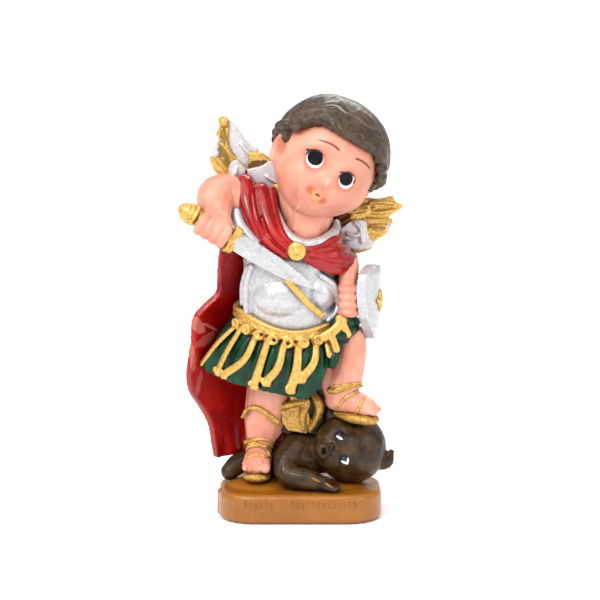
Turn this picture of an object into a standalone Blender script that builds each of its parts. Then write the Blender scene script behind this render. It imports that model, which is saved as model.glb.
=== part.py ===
"""A small cast resin statuette of the archangel Michael as a child, sword raised over a trampled demon.

The whole statuette is one casting: plinth, demon, figure, wings, cape, sword and shield. The figure
is drawn on a canon of 92 units, from the plinth's top to the crown of the head, so that every place
and radius below is a share of FIGURE_HEIGHT. X runs to the viewer's right, Y away from the viewer and
Z up. The origin is at the middle of the plinth's underside.
"""

import math

import bmesh
import bpy
from mathutils import Matrix, Vector

# Driving sizes, in metres
FIGURE_HEIGHT = 0.092
PLINTH_WIDTH = 0.0384
PLINTH_DEPTH = 0.024
PLINTH_HEIGHT = 0.007
PLINTH_CORNER = 0.0085
PLINTH_EDGE = 0.0013
FACETS = 9200

# The figure's canon
CANON = 92.0
UNIT = FIGURE_HEIGHT / CANON
GRAIN = 0.45 * UNIT
SOFTENING = 2

# The head leans to the viewer's right and looks a little that way
HEAD_CENTRE = Vector((6.4, -1.0, 77.1))
HEAD_ROLL = math.radians(31)
HEAD_YAW = math.radians(7)
HEAD_TURN = Matrix.Rotation(HEAD_ROLL, 3, "Y") @ Matrix.Rotation(HEAD_YAW, 3, "Z")

# The sword runs down to the viewer's right, across the chest
SWORD_HAND = Vector((-19.7, -9.8, 62.4))
SWORD_LINE = Vector((0.851, 0.03, -0.524)).normalized()
SWORD_EDGE = Vector((-0.524, 0.0, -0.852)).normalized()
TOWARDS_VIEWER = Vector((0.0, -1.0, 0.0))

# The shield hangs outside the left fist, its face turned a little to the viewer
SHIELD_CENTRE = Vector((15.8, -1.6, 44.6))
SHIELD_TURN = math.radians(17)
SHIELD_WIDTH = 13.0
SHIELD_THICKNESS = 2.1


def place(point):
    """A point of the canon as a place in the world."""
    return Vector(point) * UNIT + Vector((0.0, 0.0, PLINTH_HEIGHT))


def curve_point(near, t):
    """A point between the middle two of four points, on a smooth curve (Catmull-Rom)."""
    a, b, c, d = near
    bend = (2 * a - 5 * b + 4 * c - d) * t**2 + (3 * b - a - 3 * c + d) * t**3
    return 0.5 * (2 * b + (c - a) * t + bend)


def smooth_path(points, steps):
    """Points along a smooth curve through the given ones."""
    points = [Vector(p) for p in points]
    padded = [2 * points[0] - points[1], *points, 2 * points[-1] - points[-2]]
    path = []
    for near in zip(padded, padded[1:], padded[2:], padded[3:]):
        path += [curve_point(near, step / steps) for step in range(steps)]
    return path + [points[-1]]


def bridge(clay, rings):
    """Joins rings of vertices one to the next, and closes both ends with a fan."""
    for lower, upper in zip(rings, rings[1:]):
        for i in range(len(lower)):
            j = (i + 1) % len(lower)
            clay.faces.new((lower[i], lower[j], upper[j], upper[i]))
    for ring, turn in ((rings[0], -1), (rings[-1], 1)):
        middle = sum((v.co for v in ring), Vector()) / len(ring)
        hub = clay.verts.new(middle)
        for i in range(len(ring)):
            ends = (ring[i], ring[(i + 1) % len(ring)])[::turn]
            clay.faces.new((*ends, hub))


def ball(clay, centre, radii, turn=None, detail=3):
    """An ellipsoid with its own turn."""
    turn = turn or Matrix.Identity(3)
    size = Matrix.Diagonal((*(r * UNIT for r in radii), 1.0))
    matrix = Matrix.Translation(place(centre)) @ turn.to_4x4() @ size
    bmesh.ops.create_icosphere(clay, subdivisions=detail, radius=1.0, matrix=matrix)


def limb(clay, path, radii, flat=1.0, side=(0.0, 1.0, 0.0), steps=4, sides=12):
    """A round-ended limb along a smooth path. Its section is squeezed by flat along side."""
    knots = smooth_path(path, steps)
    widths = [v.x for v in smooth_path([(r, 0.0, 0.0) for r in radii], steps)]
    sides_of = side if isinstance(side, list) else [side] * len(path)
    presses = smooth_path(sides_of, steps)
    stations = []
    last = len(knots) - 1
    for i, (knot, width) in enumerate(zip(knots, widths)):
        along = (knots[min(i + 1, last)] - knots[max(i - 1, 0)]).normalized()
        if i == 0:
            stations += [(knot - along * width * c, width * s, along, presses[i]) for c, s in CAP]
        stations.append((knot, width, along, presses[i]))
        if i == last:
            stations += [
                (knot + along * width * c, width * s, along, presses[i]) for c, s in CAP[::-1]
            ]
    rings = []
    for centre, width, along, press in stations:
        across = (press - along * press.dot(along)).normalized()
        other = along.cross(across)
        ring = []
        for k in range(sides):
            a = 2 * math.pi * k / sides
            ring.append(clay.verts.new(place(
                centre + across * (flat * width * math.cos(a)) + other * (width * math.sin(a))
            )))
        rings.append(ring)
    bridge(clay, rings)


CAP = [(math.cos(math.radians(a)), math.sin(math.radians(a))) for a in (15, 45, 70)]


def drape(clay, rows, thickness, across=4, down=4):
    """A sheet of cast cloth of even thickness through rows of points."""
    lines = [smooth_path(row, across) for row in rows]
    columns = [smooth_path(column, down) for column in zip(*lines)]
    wide, tall = len(columns), len(columns[0])
    front = [[None] * tall for _ in range(wide)]
    back = [[None] * tall for _ in range(wide)]
    for i in range(wide):
        for j in range(tall):
            over = columns[min(i + 1, wide - 1)][j] - columns[max(i - 1, 0)][j]
            below = columns[i][min(j + 1, tall - 1)] - columns[i][max(j - 1, 0)]
            out = over.cross(below).normalized() * (thickness / 2)
            front[i][j] = clay.verts.new(place(columns[i][j] + out))
            back[i][j] = clay.verts.new(place(columns[i][j] - out))
    for i in range(wide - 1):
        for j in range(tall - 1):
            clay.faces.new((front[i][j], front[i][j + 1], front[i + 1][j + 1], front[i + 1][j]))
            clay.faces.new((back[i][j], back[i + 1][j], back[i + 1][j + 1], back[i][j + 1]))
    border = [(i, 0) for i in range(wide)]
    border += [(wide - 1, j) for j in range(1, tall)]
    border += [(i, tall - 1) for i in reversed(range(wide - 1))]
    border += [(0, j) for j in reversed(range(1, tall - 1))]
    for (i, j), (k, m) in zip(border, border[1:] + border[:1]):
        clay.faces.new((front[i][j], front[k][m], back[k][m], back[i][j]))


def plate(clay, outline, front, thickness):
    """A flat plate: its outline in X and Z, and the depth of its front face."""
    near = [clay.verts.new(place((x, front, z))) for x, z in outline]
    far = [clay.verts.new(place((x, front + thickness, z))) for x, z in outline]
    clay.faces.new(near)
    clay.faces.new(far[::-1])
    for i in range(len(outline)):
        j = (i + 1) % len(outline)
        clay.faces.new((near[j], near[i], far[i], far[j]))


def head_place(local):
    """A point of the head's own frame (X right, -Y forwards, Z up) on the canon."""
    return HEAD_CENTRE + HEAD_TURN @ Vector(local)


# Plinth
def rounded_outline(width, depth, corner, steps=8):
    """The corners of a rounded rectangle, going round anticlockwise."""
    outline = []
    for k, (sx, sy) in enumerate(((1, 1), (-1, 1), (-1, -1), (1, -1))):
        for step in range(steps + 1):
            a = math.pi / 2 * (k + step / steps)
            outline.append((
                sx * (width / 2 - corner) + corner * math.cos(a),
                sy * (depth / 2 - corner) + corner * math.sin(a),
            ))
    return outline


def make_plinth():
    """The plinth, a rounded block with softened edges, at its real size."""
    blank = bmesh.new()
    corner = min(PLINTH_CORNER, 0.49 * PLINTH_DEPTH)
    edge = min(PLINTH_EDGE, 0.45 * PLINTH_HEIGHT)
    levels = []
    for a in (0, 30, 60, 90):
        s, c = math.sin(math.radians(a)), math.cos(math.radians(a))
        levels.append((edge * (1 - c), edge * (1 - s)))
    profile = [(z, inset) for z, inset in levels]
    profile += [(PLINTH_HEIGHT - z, inset) for z, inset in reversed(levels)]
    rings = []
    for z, inset in profile:
        outline = rounded_outline(PLINTH_WIDTH - 2 * inset, PLINTH_DEPTH - 2 * inset, corner - inset)
        rings.append([blank.verts.new((x, y, z)) for x, y in outline])
    for lower, upper in zip(rings, rings[1:]):
        for i in range(len(lower)):
            j = (i + 1) % len(lower)
            blank.faces.new((lower[i], lower[j], upper[j], upper[i]))
    blank.faces.new(rings[0][::-1])
    blank.faces.new(rings[-1])
    return add_object("plinth_blank", blank)


def model_ground(clay):
    """The low mound that the standing foot and the demon share."""
    ball(clay, (-9.6, 0.6, -0.2), (7.6, 7.4, 1.7))
    ball(clay, (7.0, 1.0, -0.5), (10.0, 7.5, 1.5))


# Demon
DEMON_HEAD = Vector((12.2, 0.6, 8.6))


def model_demon(clay):
    """The demon lies on its belly, head to the viewer's right, under the raised foot."""
    ball(clay, DEMON_HEAD, (8.4, 7.9, 8.5))
    ball(clay, (9.4, -2.2, 9.4), (6.4, 6.2, 7.2))
    ball(clay, (6.0, -6.1, 9.9), (2.5, 2.2, 2.7))
    lips = [(5.5 + 1.0 * math.cos(a), -8.4, 9.9 + 1.3 * math.sin(a))
            for a in (math.pi / 4 * k for k in range(9))]
    limb(clay, lips, [0.55] * 9, steps=2, sides=6)
    limb(clay, [(7.0, -8.1, 9.6), (7.5, -8.0, 11.2)], [0.7, 0.6], sides=6)
    for eye in ((9.3, -7.6, 13.0), (10.6, -8.0, 7.2)):
        ball(clay, eye, (1.3, 0.9, 1.4), None, 2)
    limb(clay, [(18.2, 0.2, 5.8), (20.4, 0.0, 5.6), (21.6, -0.2, 7.7)], [2.6, 2.0, 0.8], 0.7)
    limb(clay, [(8.6, -0.6, 14.6), (7.2, -0.6, 16.6), (6.9, -0.6, 18.4)], [2.6, 1.8, 0.7], 0.7)
    limb(clay, [(11.5, 4.5, 6.0), (5.0, 3.0, 6.8), (0.6, 1.4, 6.4), (-6.0, 4.2, 4.0)],
         [5.0, 5.0, 5.6, 4.2], steps=5)
    ball(clay, (-0.2, 0.4, 7.0), (5.2, 4.8, 5.6))
    limb(clay, [(-0.8, -0.6, 8.6), (-3.2, -3.6, 6.0), (-2.8, -6.0, 3.6), (1.6, -7.6, 2.9),
                (5.6, -8.4, 2.1)],
         [3.8, 3.1, 2.7, 2.4, 1.8])
    for k in range(3):
        reach = 9.0 - 0.5 * k
        limb(clay, [(5.2, -7.5 - 0.9 * k, 1.9), (reach, -8.1 - 1.0 * k, 1.2)], [1.0, 0.75])
    limb(clay, [(-10.6, 5.8, 4.4), (-14.4, 4.8, 3.9), (-16.8, 3.0, 2.3)], [2.8, 2.7, 2.2])


def model_demon_wings(clay):
    """Two stubby wings that stand up from the demon's shoulders."""
    plate(clay, [(-4.8, 19.4), (-2.8, 20.2), (1.6, 20.8), (2.4, 16.0), (1.6, 12.6), (-2.8, 13.4),
                 (-4.2, 15.2)], -2.4, 3.0)
    limb(clay, [(-4.6, -2.2, 19.0), (-1.6, -2.9, 20.0), (1.6, -2.6, 20.4)], [0.9, 0.9, 0.9])
    limb(clay, [(-1.8, -2.4, 21.6), (0.6, -2.8, 22.2)], [0.9, 0.8])
    limb(clay, [(1.7, -2.4, 19.8), (0.6, -3.0, 17.2), (0.8, -2.2, 14.0)], [1.0, 0.9, 0.8])
    limb(clay, [(3.4, -0.8, 21.6), (4.5, -1.6, 19.6), (4.1, -0.8, 16.6), (2.6, 0.2, 13.4)],
         [1.0, 1.3, 1.2, 1.0], 2.0)


def model_web(clay):
    """The web of material that joins the legs behind the demon's wings."""
    plate(clay, [(-4.2, 12.0), (-4.4, 19.0), (1.6, 21.2), (4.0, 32.0), (10.0, 32.0), (9.0, 15.0),
                 (4.0, 12.0)], 0.4, 3.0)


# Legs and sandals
def model_standing_leg(clay):
    """The right leg stands on the plinth, the knee plump as a child's."""
    limb(clay, [(-5.6, 1.6, 29.0), (-7.4, 1.2, 21.0), (-8.4, 1.8, 14.6), (-9.4, 2.0, 9.6),
                (-9.7, 1.8, 6.4)],
         [6.2, 5.4, 4.9, 3.4, 3.2], steps=5)
    limb(clay, [(-9.8, 3.6, 5.2), (-10.0, 0.0, 6.0), (-10.1, -2.4, 5.4)], [3.0, 3.4, 3.3], 0.82,
         (0, 0, 1))
    for k, (x, r) in enumerate(((-12.8, 0.8), (-11.4, 0.85), (-9.9, 0.9), (-8.1, 1.2))):
        limb(clay, [(x, -2.8, 5.6), (x, -5.1 - 0.15 * k, 5.0)], [r + 0.1, r])


def model_raised_leg(clay):
    """The left leg bends, and its foot treads on the demon's head."""
    limb(clay, [(3.5, 0.9, 33.0), (8.5, -1.4, 36.6), (11.8, -2.6, 35.2), (11.6, -2.8, 29.6),
                (10.2, -2.6, 24.4), (9.8, -2.4, 21.6)],
         [6.2, 4.5, 3.7, 3.8, 4.0, 3.4], steps=5)
    limb(clay, [(5.6, -1.2, 31.0), (7.2, -2.0, 26.0), (8.0, -2.2, 22.0)], [2.8, 2.8, 2.2])
    limb(clay, [(8.6, -1.6, 20.8), (12.6, -3.8, 20.6), (15.7, -5.4, 19.6)], [3.0, 3.1, 2.6], 0.9,
         (0, 0, 1))
    for k in range(4):
        start = Vector((15.1 + 0.55 * k, -6.8 + 1.3 * k, 19.3))
        limb(clay, [start, start + Vector((2.1 - 0.15 * k, -1.1, -0.4))], [1.0, 0.8])


def model_sandals(clay):
    """Gold soles and the cords that tie them."""
    limb(clay, [(-9.9, 5.0, 2.4), (-10.1, 0.5, 2.5), (-10.2, -3.0, 2.6)], [3.0, 3.4, 3.4], 0.44,
         (0, 0, 1))
    limb(clay, [(10.4, -1.6, 17.5), (12.8, -3.8, 17.2), (15.7, -5.8, 17.0)], [2.8, 3.2, 3.0], 0.5,
         (0, 0, 1))


def model_garters(clay):
    """The tied bands below the knee and above the ankles."""
    limb(clay, [(-13.6, -1.0, 16.4), (-12.0, -3.0, 19.0), (-8.8, -3.9, 18.6), (-5.4, -3.4, 15.6)],
         [0.45, 0.55, 0.65, 0.8])
    limb(clay, [(-12.9, 0.6, 10.0), (-11.0, -1.1, 11.0), (-8.6, -1.3, 11.2), (-6.4, 0.4, 10.2)],
         [0.6] * 4)
    limb(clay, [(7.0, -4.8, 23.6), (9.0, -6.2, 24.0), (12.4, -6.2, 25.0), (14.4, -4.6, 24.6)],
         [0.9, 0.9, 0.5, 0.45])


# Skirt
HEM = [
    (13.4, -3.6, 38.8), (11.5, 5.0, 35.0), (6.0, 8.4, 31.0), (-2.0, 9.4, 28.5),
    (-10.5, 8.6, 27.5), (-17.6, 5.2, 27.6), (-22.6, 0.6, 28.5), (-19.9, -3.2, 26.3),
    (-12.2, -6.8, 24.6), (-3.4, -8.6, 22.9), (2.8, -8.8, 22.8), (8.6, -9.0, 31.8),
]
WAIST = Vector((-2.0, 1.2, 40.9))
WAIST_WIDE, WAIST_DEEP = 12.2, 8.8
PLEATS = 11


def hem_point(turn):
    """The hem's point at a turn round the body, in degrees: 0 is right, 270 the front."""
    step = (turn % 360) / 30
    i, t = int(step), step - int(step)
    return curve_point([Vector(HEM[(i + k) % 12]) for k in (-1, 0, 1, 2)], t)


def waist_point(turn, out=0.0):
    """A point on the waist, which dips under the belly and rises behind."""
    a = math.radians(turn)
    c, s = math.cos(a), math.sin(a)
    dip = 3.7 * max(0.0, -s) ** 3
    rise = 1.9 * max(0.0, s) - 0.8 * c
    deep = (WAIST_DEEP + out) * (0.86 if s > 0 else 1.0)
    return WAIST + Vector(((WAIST_WIDE + out) * c, deep * s, rise - dip))


def skirt_point(turn, drop, lift=0.0):
    """A point of the skirt from waist (drop 0) to hem (drop 1), lifted off the cloth."""
    top, bottom = waist_point(turn), hem_point(turn)
    a = math.radians(turn)
    out = Vector((math.cos(a), math.sin(a), 0.25))
    swell = 1.3 * math.sin(math.pi * drop)
    pleat = 0.55 * drop * math.cos(PLEATS * a)
    return top.lerp(bottom, drop) + out * (swell + pleat + lift)


def model_skirt(clay):
    """The flared kilt, lifted on the viewer's right by the raised thigh."""
    rings = []
    for drop in (-0.08, 0.0, 0.15, 0.3, 0.45, 0.6, 0.75, 0.9, 1.0):
        rings.append([clay.verts.new(place(skirt_point(5 * k, drop))) for k in range(72)])
    inner = Vector((-2.6, 1.0, 31.0))
    rings.append([clay.verts.new(place(hem_point(5 * k).lerp(inner, 0.25))) for k in range(72)])
    bridge(clay, rings[::-1])
    limb(clay, [(8.4, -6.6, 39.8), (10.8, -5.6, 40.3), (12.7, -2.6, 39.4)], [1.5, 1.8, 1.5])
    limb(clay, [(8.8, -7.6, 37.0), (10.6, -6.6, 37.7), (12.6, -3.8, 38.0)], [1.5, 1.7, 1.4])


# Each strip of the kilt: turn and drop at its top, its middle and its end, and its half width
STRIPS = [
    ((213, 0.10), (203, 0.50), (189, 0.93), 0.80),
    ((219, 0.14), (217, 0.54), (212, 0.90), 0.90),
    ((237, 0.16), (235, 0.58), (221, 0.90), 1.00),
    ((249, 0.18), (248, 0.56), (245, 0.94), 1.05),
    ((264, 0.18), (262, 0.56), (254, 0.84), 1.00),
    ((278, 0.18), (278, 0.54), (274, 0.88), 1.15),
    ((296, 0.18), (294, 0.46), (283, 0.70), 1.00),
    ((309, 0.12), (310, 0.30), (313, 0.50), 1.15),
]
# Ribbons at the belt's right end: three points and a half width
RIBBONS = [
    ([(5.6, -9.2, 37.0), (8.0, -9.0, 38.6), (9.8, -8.2, 40.6)], 1.2),
    ([(9.1, -8.4, 41.2), (10.2, -8.2, 39.2), (11.0, -7.9, 37.4)], 1.0),
    ([(7.2, -9.4, 37.4), (7.9, -9.5, 35.8), (8.4, -9.6, 34.2)], 0.9),
]
DISC_TURNS = [214, 228, 241, 254, 268, 282, 296]


def model_kilt_trim(clay):
    """The gold belt, its row of discs and the gold strips that hang from it."""
    loop = [waist_point(20 * k, 0.6) for k in range(19)]
    out = [Matrix.Rotation(math.radians(20 * k), 3, "Z") @ Vector((1, 0, 0)) for k in range(19)]
    limb(clay, loop, [1.25] * 19, 0.75, out, steps=3, sides=10)
    for turn in DISC_TURNS:
        facing = Matrix.Rotation(math.radians(turn), 3, "Z")
        ball(clay, skirt_point(turn, 0.13, 0.9), (1.1, 1.5, 1.45), facing, 2)
    for ribbon, half in RIBBONS:
        limb(clay, ribbon, [half] * 3, 0.55, sides=8)
    for top, middle, end, half in STRIPS:
        path = [skirt_point(turn, drop, 0.75) for turn, drop in (top, middle, end)]
        outs = [Vector((math.cos(math.radians(turn)), math.sin(math.radians(turn)), 0.3))
                for turn, _ in (top, middle, end)]
        limb(clay, path, [half * 0.85, half, half * 1.15], 0.6, outs, sides=8)


# Cuirass
# Each section of the trunk: height, middle x and y, half width, half depth and tilt
TRUNK = [
    (36.0, -2.0, 1.2, 11.2, 8.0, 0.00), (39.5, -2.0, 1.2, 11.6, 8.4, 0.00),
    (42.5, -2.3, 1.0, 11.1, 8.5, 0.00), (46.0, -2.4, 0.8, 10.9, 8.6, 0.00),
    (50.0, -2.2, 0.8, 11.0, 8.5, 0.03), (54.0, -1.9, 1.0, 11.5, 8.2, 0.08),
    (57.5, -1.8, 1.6, 12.2, 7.0, 0.18), (60.5, -2.6, 2.6, 11.6, 5.4, 0.32),
    (63.5, -4.0, 3.4, 9.6, 4.2, 0.40), (66.5, -5.4, 3.8, 6.4, 3.2, 0.42),
]


def model_cuirass(clay):
    """The trunk in its breastplate, with a round belly and rims at the sides."""
    rings = []
    for z, x, y, wide, deep, tilt in TRUNK:
        ring = []
        for k in range(40):
            a = 2 * math.pi * k / 40
            dx = wide * math.copysign(abs(math.cos(a)) ** 0.9, math.cos(a))
            dy = deep * math.copysign(abs(math.sin(a)) ** 0.9, math.sin(a))
            ring.append(clay.verts.new(place((x + dx, y + dy, z - tilt * dx))))
        rings.append(ring)
    bridge(clay, rings)
    ball(clay, (-4.0, -1.4, 45.6), (8.0, 7.6, 6.8))
    ball(clay, (4.3, -2.6, 46.6), (4.2, 5.2, 5.4))
    ball(clay, (-7.0, -2.4, 54.6), (4.6, 4.4, 4.2))
    ball(clay, (3.6, -2.6, 53.0), (4.6, 4.6, 4.4))
    limb(clay, [(4.6, -6.6, 51.4), (7.6, -4.6, 48.8), (9.0, -1.6, 45.6), (8.9, -1.4, 42.6),
                (6.4, -5.2, 41.0)],
         [0.9] * 5)
    limb(clay, [(-12.0, -4.2, 52.4), (-13.2, -1.6, 48.0), (-13.3, -1.2, 43.6)], [0.9] * 3)
    limb(clay, [(-14.8, -4.0, 65.2), (-13.8, -5.6, 62.2), (-10.6, -7.0, 58.6)], [1.5, 1.7, 1.6])


def model_collar(clay):
    """The silver neckline, which droops in front."""
    neckline = [
        (-6.4, 3.4, 67.6), (-6.2, -0.6, 66.4), (-4.6, -4.0, 62.4), (-2.2, -6.2, 59.6),
        (1.4, -6.8, 58.2), (5.2, -5.8, 58.9), (8.0, -2.2, 60.6), (8.6, 2.4, 62.0),
    ]
    limb(clay, neckline, [1.0, 1.2, 1.3, 1.3, 1.3, 1.3, 1.2, 1.0])


def model_baldric(clay):
    """The gold strap from the sword's point to the belt."""
    limb(clay, [(-3.0, -9.0, 50.3), (-0.6, -9.2, 47.6), (2.0, -8.7, 44.6), (5.0, -7.6, 41.8)],
         [0.75, 0.8, 0.85, 0.8], 0.6)


# Arms, sword and shield
def model_sword_arm(clay):
    """The right arm swings out from under the cape, and its fist comes forward."""
    limb(clay, [(-9.0, 2.0, 63.0), (-14.4, 0.8, 67.2), (-18.7, -0.6, 69.0), (-19.6, -5.2, 67.0),
                SWORD_HAND - 0.9 * SWORD_EDGE],
         [5.2, 5.2, 5.0, 4.2, 3.4], steps=5)
    ball(clay, SWORD_HAND - 1.0 * SWORD_EDGE + 0.6 * TOWARDS_VIEWER, (3.9, 3.0, 3.4))
    for k in range(4):
        knuckle = SWORD_HAND + (1.95 * (k - 1.5)) * SWORD_LINE
        curl = [(-1.6, 2.6), (0.4, 3.3), (2.0, 2.5), (2.5, 0.4)]
        limb(clay, [knuckle + q * SWORD_EDGE + f * TOWARDS_VIEWER for q, f in curl],
             [1.1, 1.15, 1.1, 1.0])


def model_blade(clay):
    """A short blade with a ridge down its middle."""
    start, length, half, spine = 5.6, 21.4, 2.3, 1.2
    shares = [(0.0, 1.0), (0.3, 1.0), (0.6, 0.86), (0.8, 0.6), (0.92, 0.34), (1.0, 0.05)]
    rings = []
    for share, width in shares:
        middle = SWORD_HAND + (start + length * share) * SWORD_LINE
        rim = [(half * width, 0.12), (0.0, spine * max(width, 0.3)), (-half * width, 0.12),
               (-half * width, -0.12), (0.0, -spine * max(width, 0.3)), (half * width, -0.12)]
        section = [middle + q * SWORD_EDGE + f * TOWARDS_VIEWER for q, f in rim]
        rings.append([clay.verts.new(place(spot)) for spot in section])
    bridge(clay, rings)


def model_hilt(clay):
    """The guard with its two ridges and the turned pommel."""
    for along, half, thick in ((4.7, 2.8, 0.7), (5.7, 2.6, 0.7)):
        middle = SWORD_HAND + along * SWORD_LINE
        limb(clay, [middle - half * SWORD_EDGE, middle + half * SWORD_EDGE], [thick, thick], 1.5,
             TOWARDS_VIEWER)
    for along, r in ((-4.6, 2.0), (-5.8, 2.4), (-7.0, 2.2), (-8.0, 1.5)):
        ball(clay, SWORD_HAND + along * SWORD_LINE, (r, r, r), None, 2)
    limb(clay, [SWORD_HAND - 4.0 * SWORD_LINE, SWORD_HAND + 5.0 * SWORD_LINE], [1.3, 1.3])


def model_shield_arm(clay):
    """The left arm drops from the cape and grips the shield's handle."""
    limb(clay, [(8.4, 2.0, 54.6), (10.4, 3.2, 52.0), (11.2, 0.4, 49.0), (11.3, -3.6, 49.6)],
         [3.6, 3.0, 2.8, 2.6])
    limb(clay, [(11.4, -2.8, 53.0), (11.3, -4.4, 49.6), (11.3, -4.8, 45.4), (11.4, -4.6, 43.0)],
         [2.4, 2.3, 2.4, 2.0])
    for k in range(4):
        z = 47.8 - 1.9 * k
        limb(clay, [(13.3, -4.6, z), (12.2, -7.0, z), (10.2, -6.9, z), (9.4, -4.8, z)], [0.95] * 4)
    limb(clay, [(12.0, -4.6, 45.0), (15.6, -3.2, 45.0)], [1.6, 1.6])


SHIELD_OUT = Vector((math.cos(SHIELD_TURN), -math.sin(SHIELD_TURN), 0.0))
SHIELD_ACROSS = Vector((math.sin(SHIELD_TURN), math.cos(SHIELD_TURN), 0.0))
# The shield's half width, as a share of the full one, at heights above its middle
SHIELD_OUTLINE = [(8.2, 0.10), (7.7, 0.32), (6.6, 0.45), (3.8, 0.50), (0.0, 0.49), (-3.6, 0.42),
                  (-6.6, 0.27), (-8.4, 0.12), (-9.3, 0.03)]


def model_shield(clay):
    """A heater shield, bowed outwards, thick as a casting needs."""
    rings = []
    for z, share in SHIELD_OUTLINE:
        half = share * SHIELD_WIDTH
        outer, inner = [], []
        for k in range(13):
            across = half * (2 * k / 12 - 1)
            bow = 1.9 * (1 - (2 * across / SHIELD_WIDTH) ** 2) * (0.4 + 0.6 * min(1.0, 2.2 * share))
            spot = SHIELD_CENTRE + across * SHIELD_ACROSS + Vector((0.0, 0.0, z))
            outer.append(clay.verts.new(place(spot + (bow + SHIELD_THICKNESS / 2) * SHIELD_OUT)))
            inner.append(clay.verts.new(place(spot + (0.5 * bow - SHIELD_THICKNESS / 2) * SHIELD_OUT)))
        rings.append(outer + inner[::-1])
    bridge(clay, rings)


def model_shield_boss(clay):
    """The gold device at the middle of the shield."""
    centre = SHIELD_CENTRE + 3.0 * SHIELD_OUT
    turn = Matrix.Rotation(-SHIELD_TURN, 3, "Z")
    ball(clay, centre, (0.7, 1.3, 2.7), turn)
    ball(clay, centre, (0.65, 2.5, 1.0), turn)


# Head and hair
# Soft swellings and hollows of the face: middle in X and Z, spread and height
FACE_FORMS = [
    (-5.8, -6.0, 3.4, 0.8), (6.0, -6.0, 3.4, 0.8), (0.3, -11.0, 2.6, 1.0), (0.2, -7.5, 2.0, 0.7),
    (-4.5, -0.8, 2.8, -0.9), (4.2, -1.0, 2.8, -0.9), (-0.3, -4.4, 1.6, 2.0), (-0.2, -2.6, 1.4, 0.7),
]
LIPS = [(0.2, -6.8, 1.1, 0.8), (0.2, -8.3, 1.0, 0.8), (0.2, -7.5, 0.5, -0.5)]


def face_place(direction):
    """The skin of the head in this direction from its middle, in the head's own frame."""
    d = Vector(direction).normalized()
    jaw = max(0.0, -d.z)
    spot = Vector((11.4 * d.x + 0.2, (11.6 + 0.4 * jaw) * d.y, (13.2 + 0.9 * jaw) * d.z))
    spot.x *= 1 + 0.10 * math.sin(math.pi * min(1.0, 1.15 * jaw)) ** 2
    spot.z *= 1 + 0.03 * jaw * (1 - jaw)
    if d.y < 0:
        for x, z, spread, height in FACE_FORMS + LIPS:
            away = (spot.x - x)**2 + (spot.z - z)**2
            spot.y -= height * math.exp(-away / (2 * (0.62 * spread)**2)) * min(1.0, -2.5 * d.y)
    return spot


def model_head(clay):
    """A round child's head, with neck, ears, button nose and small mouth."""
    limb(clay, [(1.2, 0.6, 57.5), (1.8, 0.4, 62.0), (2.6, 0.2, 66.0), (3.6, 0.4, 70.0)],
         [5.7, 5.6, 5.5, 5.3])
    limb(clay, [(0.6, 0.6, 60.0), (-0.6, 0.4, 66.0), (-1.0, 0.2, 70.5)], [3.4, 4.3, 4.4])
    skin = bmesh.ops.create_icosphere(clay, subdivisions=6, radius=1.0)["verts"]
    for vertex in skin:
        vertex.co = place(head_place(face_place(vertex.co)))
    for side in (-1, 1):
        ball(clay, head_place((10.6 * side, 0.6, -2.8)), (1.0, 2.0, 2.8), HEAD_TURN)
        rim = [(10.2, -0.2, -5.8), (11.3, 0.9, -5.8), (12.0, 2.0, -3.2), (12.0, 1.2, -0.4),
               (11.6, -0.9, 0.3), (11.2, -1.6, -1.6)]
        path = [head_place((x * side, y, z)) for x, y, z in rim]
        limb(clay, path, [0.8, 0.85, 0.8, 0.8, 0.7, 0.4])


CAP_CENTRE = Vector((0.0, 1.3, 1.5))
CAP_RADII = Vector((13.0, 13.1, 13.3))


def hair_grows(spot):
    """Whether hair covers the cap at this place of the head's frame."""
    wave = 0.5 * math.sin(1.7 * spot.x + 0.6)
    if spot.y < -3.6:
        return spot.z > 8.9 - 0.030 * (spot.x - 1.0)**2 + 0.8 * wave
    if spot.y < -1.6:
        return spot.z > -1.4
    if spot.y < 3.2:
        return spot.z > -0.4 + 0.4 * wave
    return spot.z > -2.0 - 1.3 * (spot.y - 3.2) + 0.6 * wave


def scalp_place(azimuth, fall, rise=0.0):
    """A place on the hair: azimuth in degrees round the head (270 is the front), fall from the crown."""
    a, f = math.radians(azimuth), math.radians(fall)
    d = Vector((math.sin(f) * math.cos(a), math.sin(f) * math.sin(a), math.cos(f)))
    return CAP_CENTRE + Vector(d[i] * (CAP_RADII[i] + rise) for i in range(3))


def model_hair(clay):
    """A close cap of hair, combed from the crown, that ends in small curls."""
    cap = bmesh.ops.create_icosphere(clay, subdivisions=5, radius=1.0)["verts"]
    for vertex in cap:
        spot = CAP_CENTRE + Vector(vertex.co[i] * CAP_RADII[i] for i in range(3))
        if not hair_grows(spot):
            spot = CAP_CENTRE + 0.8 * (spot - CAP_CENTRE)
        vertex.co = place(head_place(spot))
    for k in range(30):
        azimuth = 12 * k + 3
        fall = lock_length(azimuth + 20) - 2
        path = []
        for step in range(6):
            t = step / 5
            sweep = 24 * t + 7 * math.sin(9 * t + 2.1 * k)
            path.append(head_place(scalp_place(azimuth + sweep, 18 + (fall - 18) * t, 0.1 + 0.35 * t)))
        out = [p - head_place((0, 0, 0)) for p in path]
        limb(clay, path, [0.5, 1.2, 1.4, 1.5, 1.4, 0.8], 0.5, out, steps=3, sides=8)
    for k in range(36):
        azimuth = 10 * k + 6
        fall = lock_length(azimuth) + 2
        ball(clay, head_place(scalp_place(azimuth, fall, 0.2)), (1.5, 1.5, 1.5), None, 2)


def lock_length(azimuth):
    """How far from the crown, in degrees, the hair reaches at this azimuth."""
    front = max(0.0, -math.sin(math.radians(azimuth)))
    back = max(0.0, math.sin(math.radians(azimuth)))
    return 87 - 29 * min(1.0, 1.3 * front) ** 2.2 + 35 * min(1.0, 1.2 * back)


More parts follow.
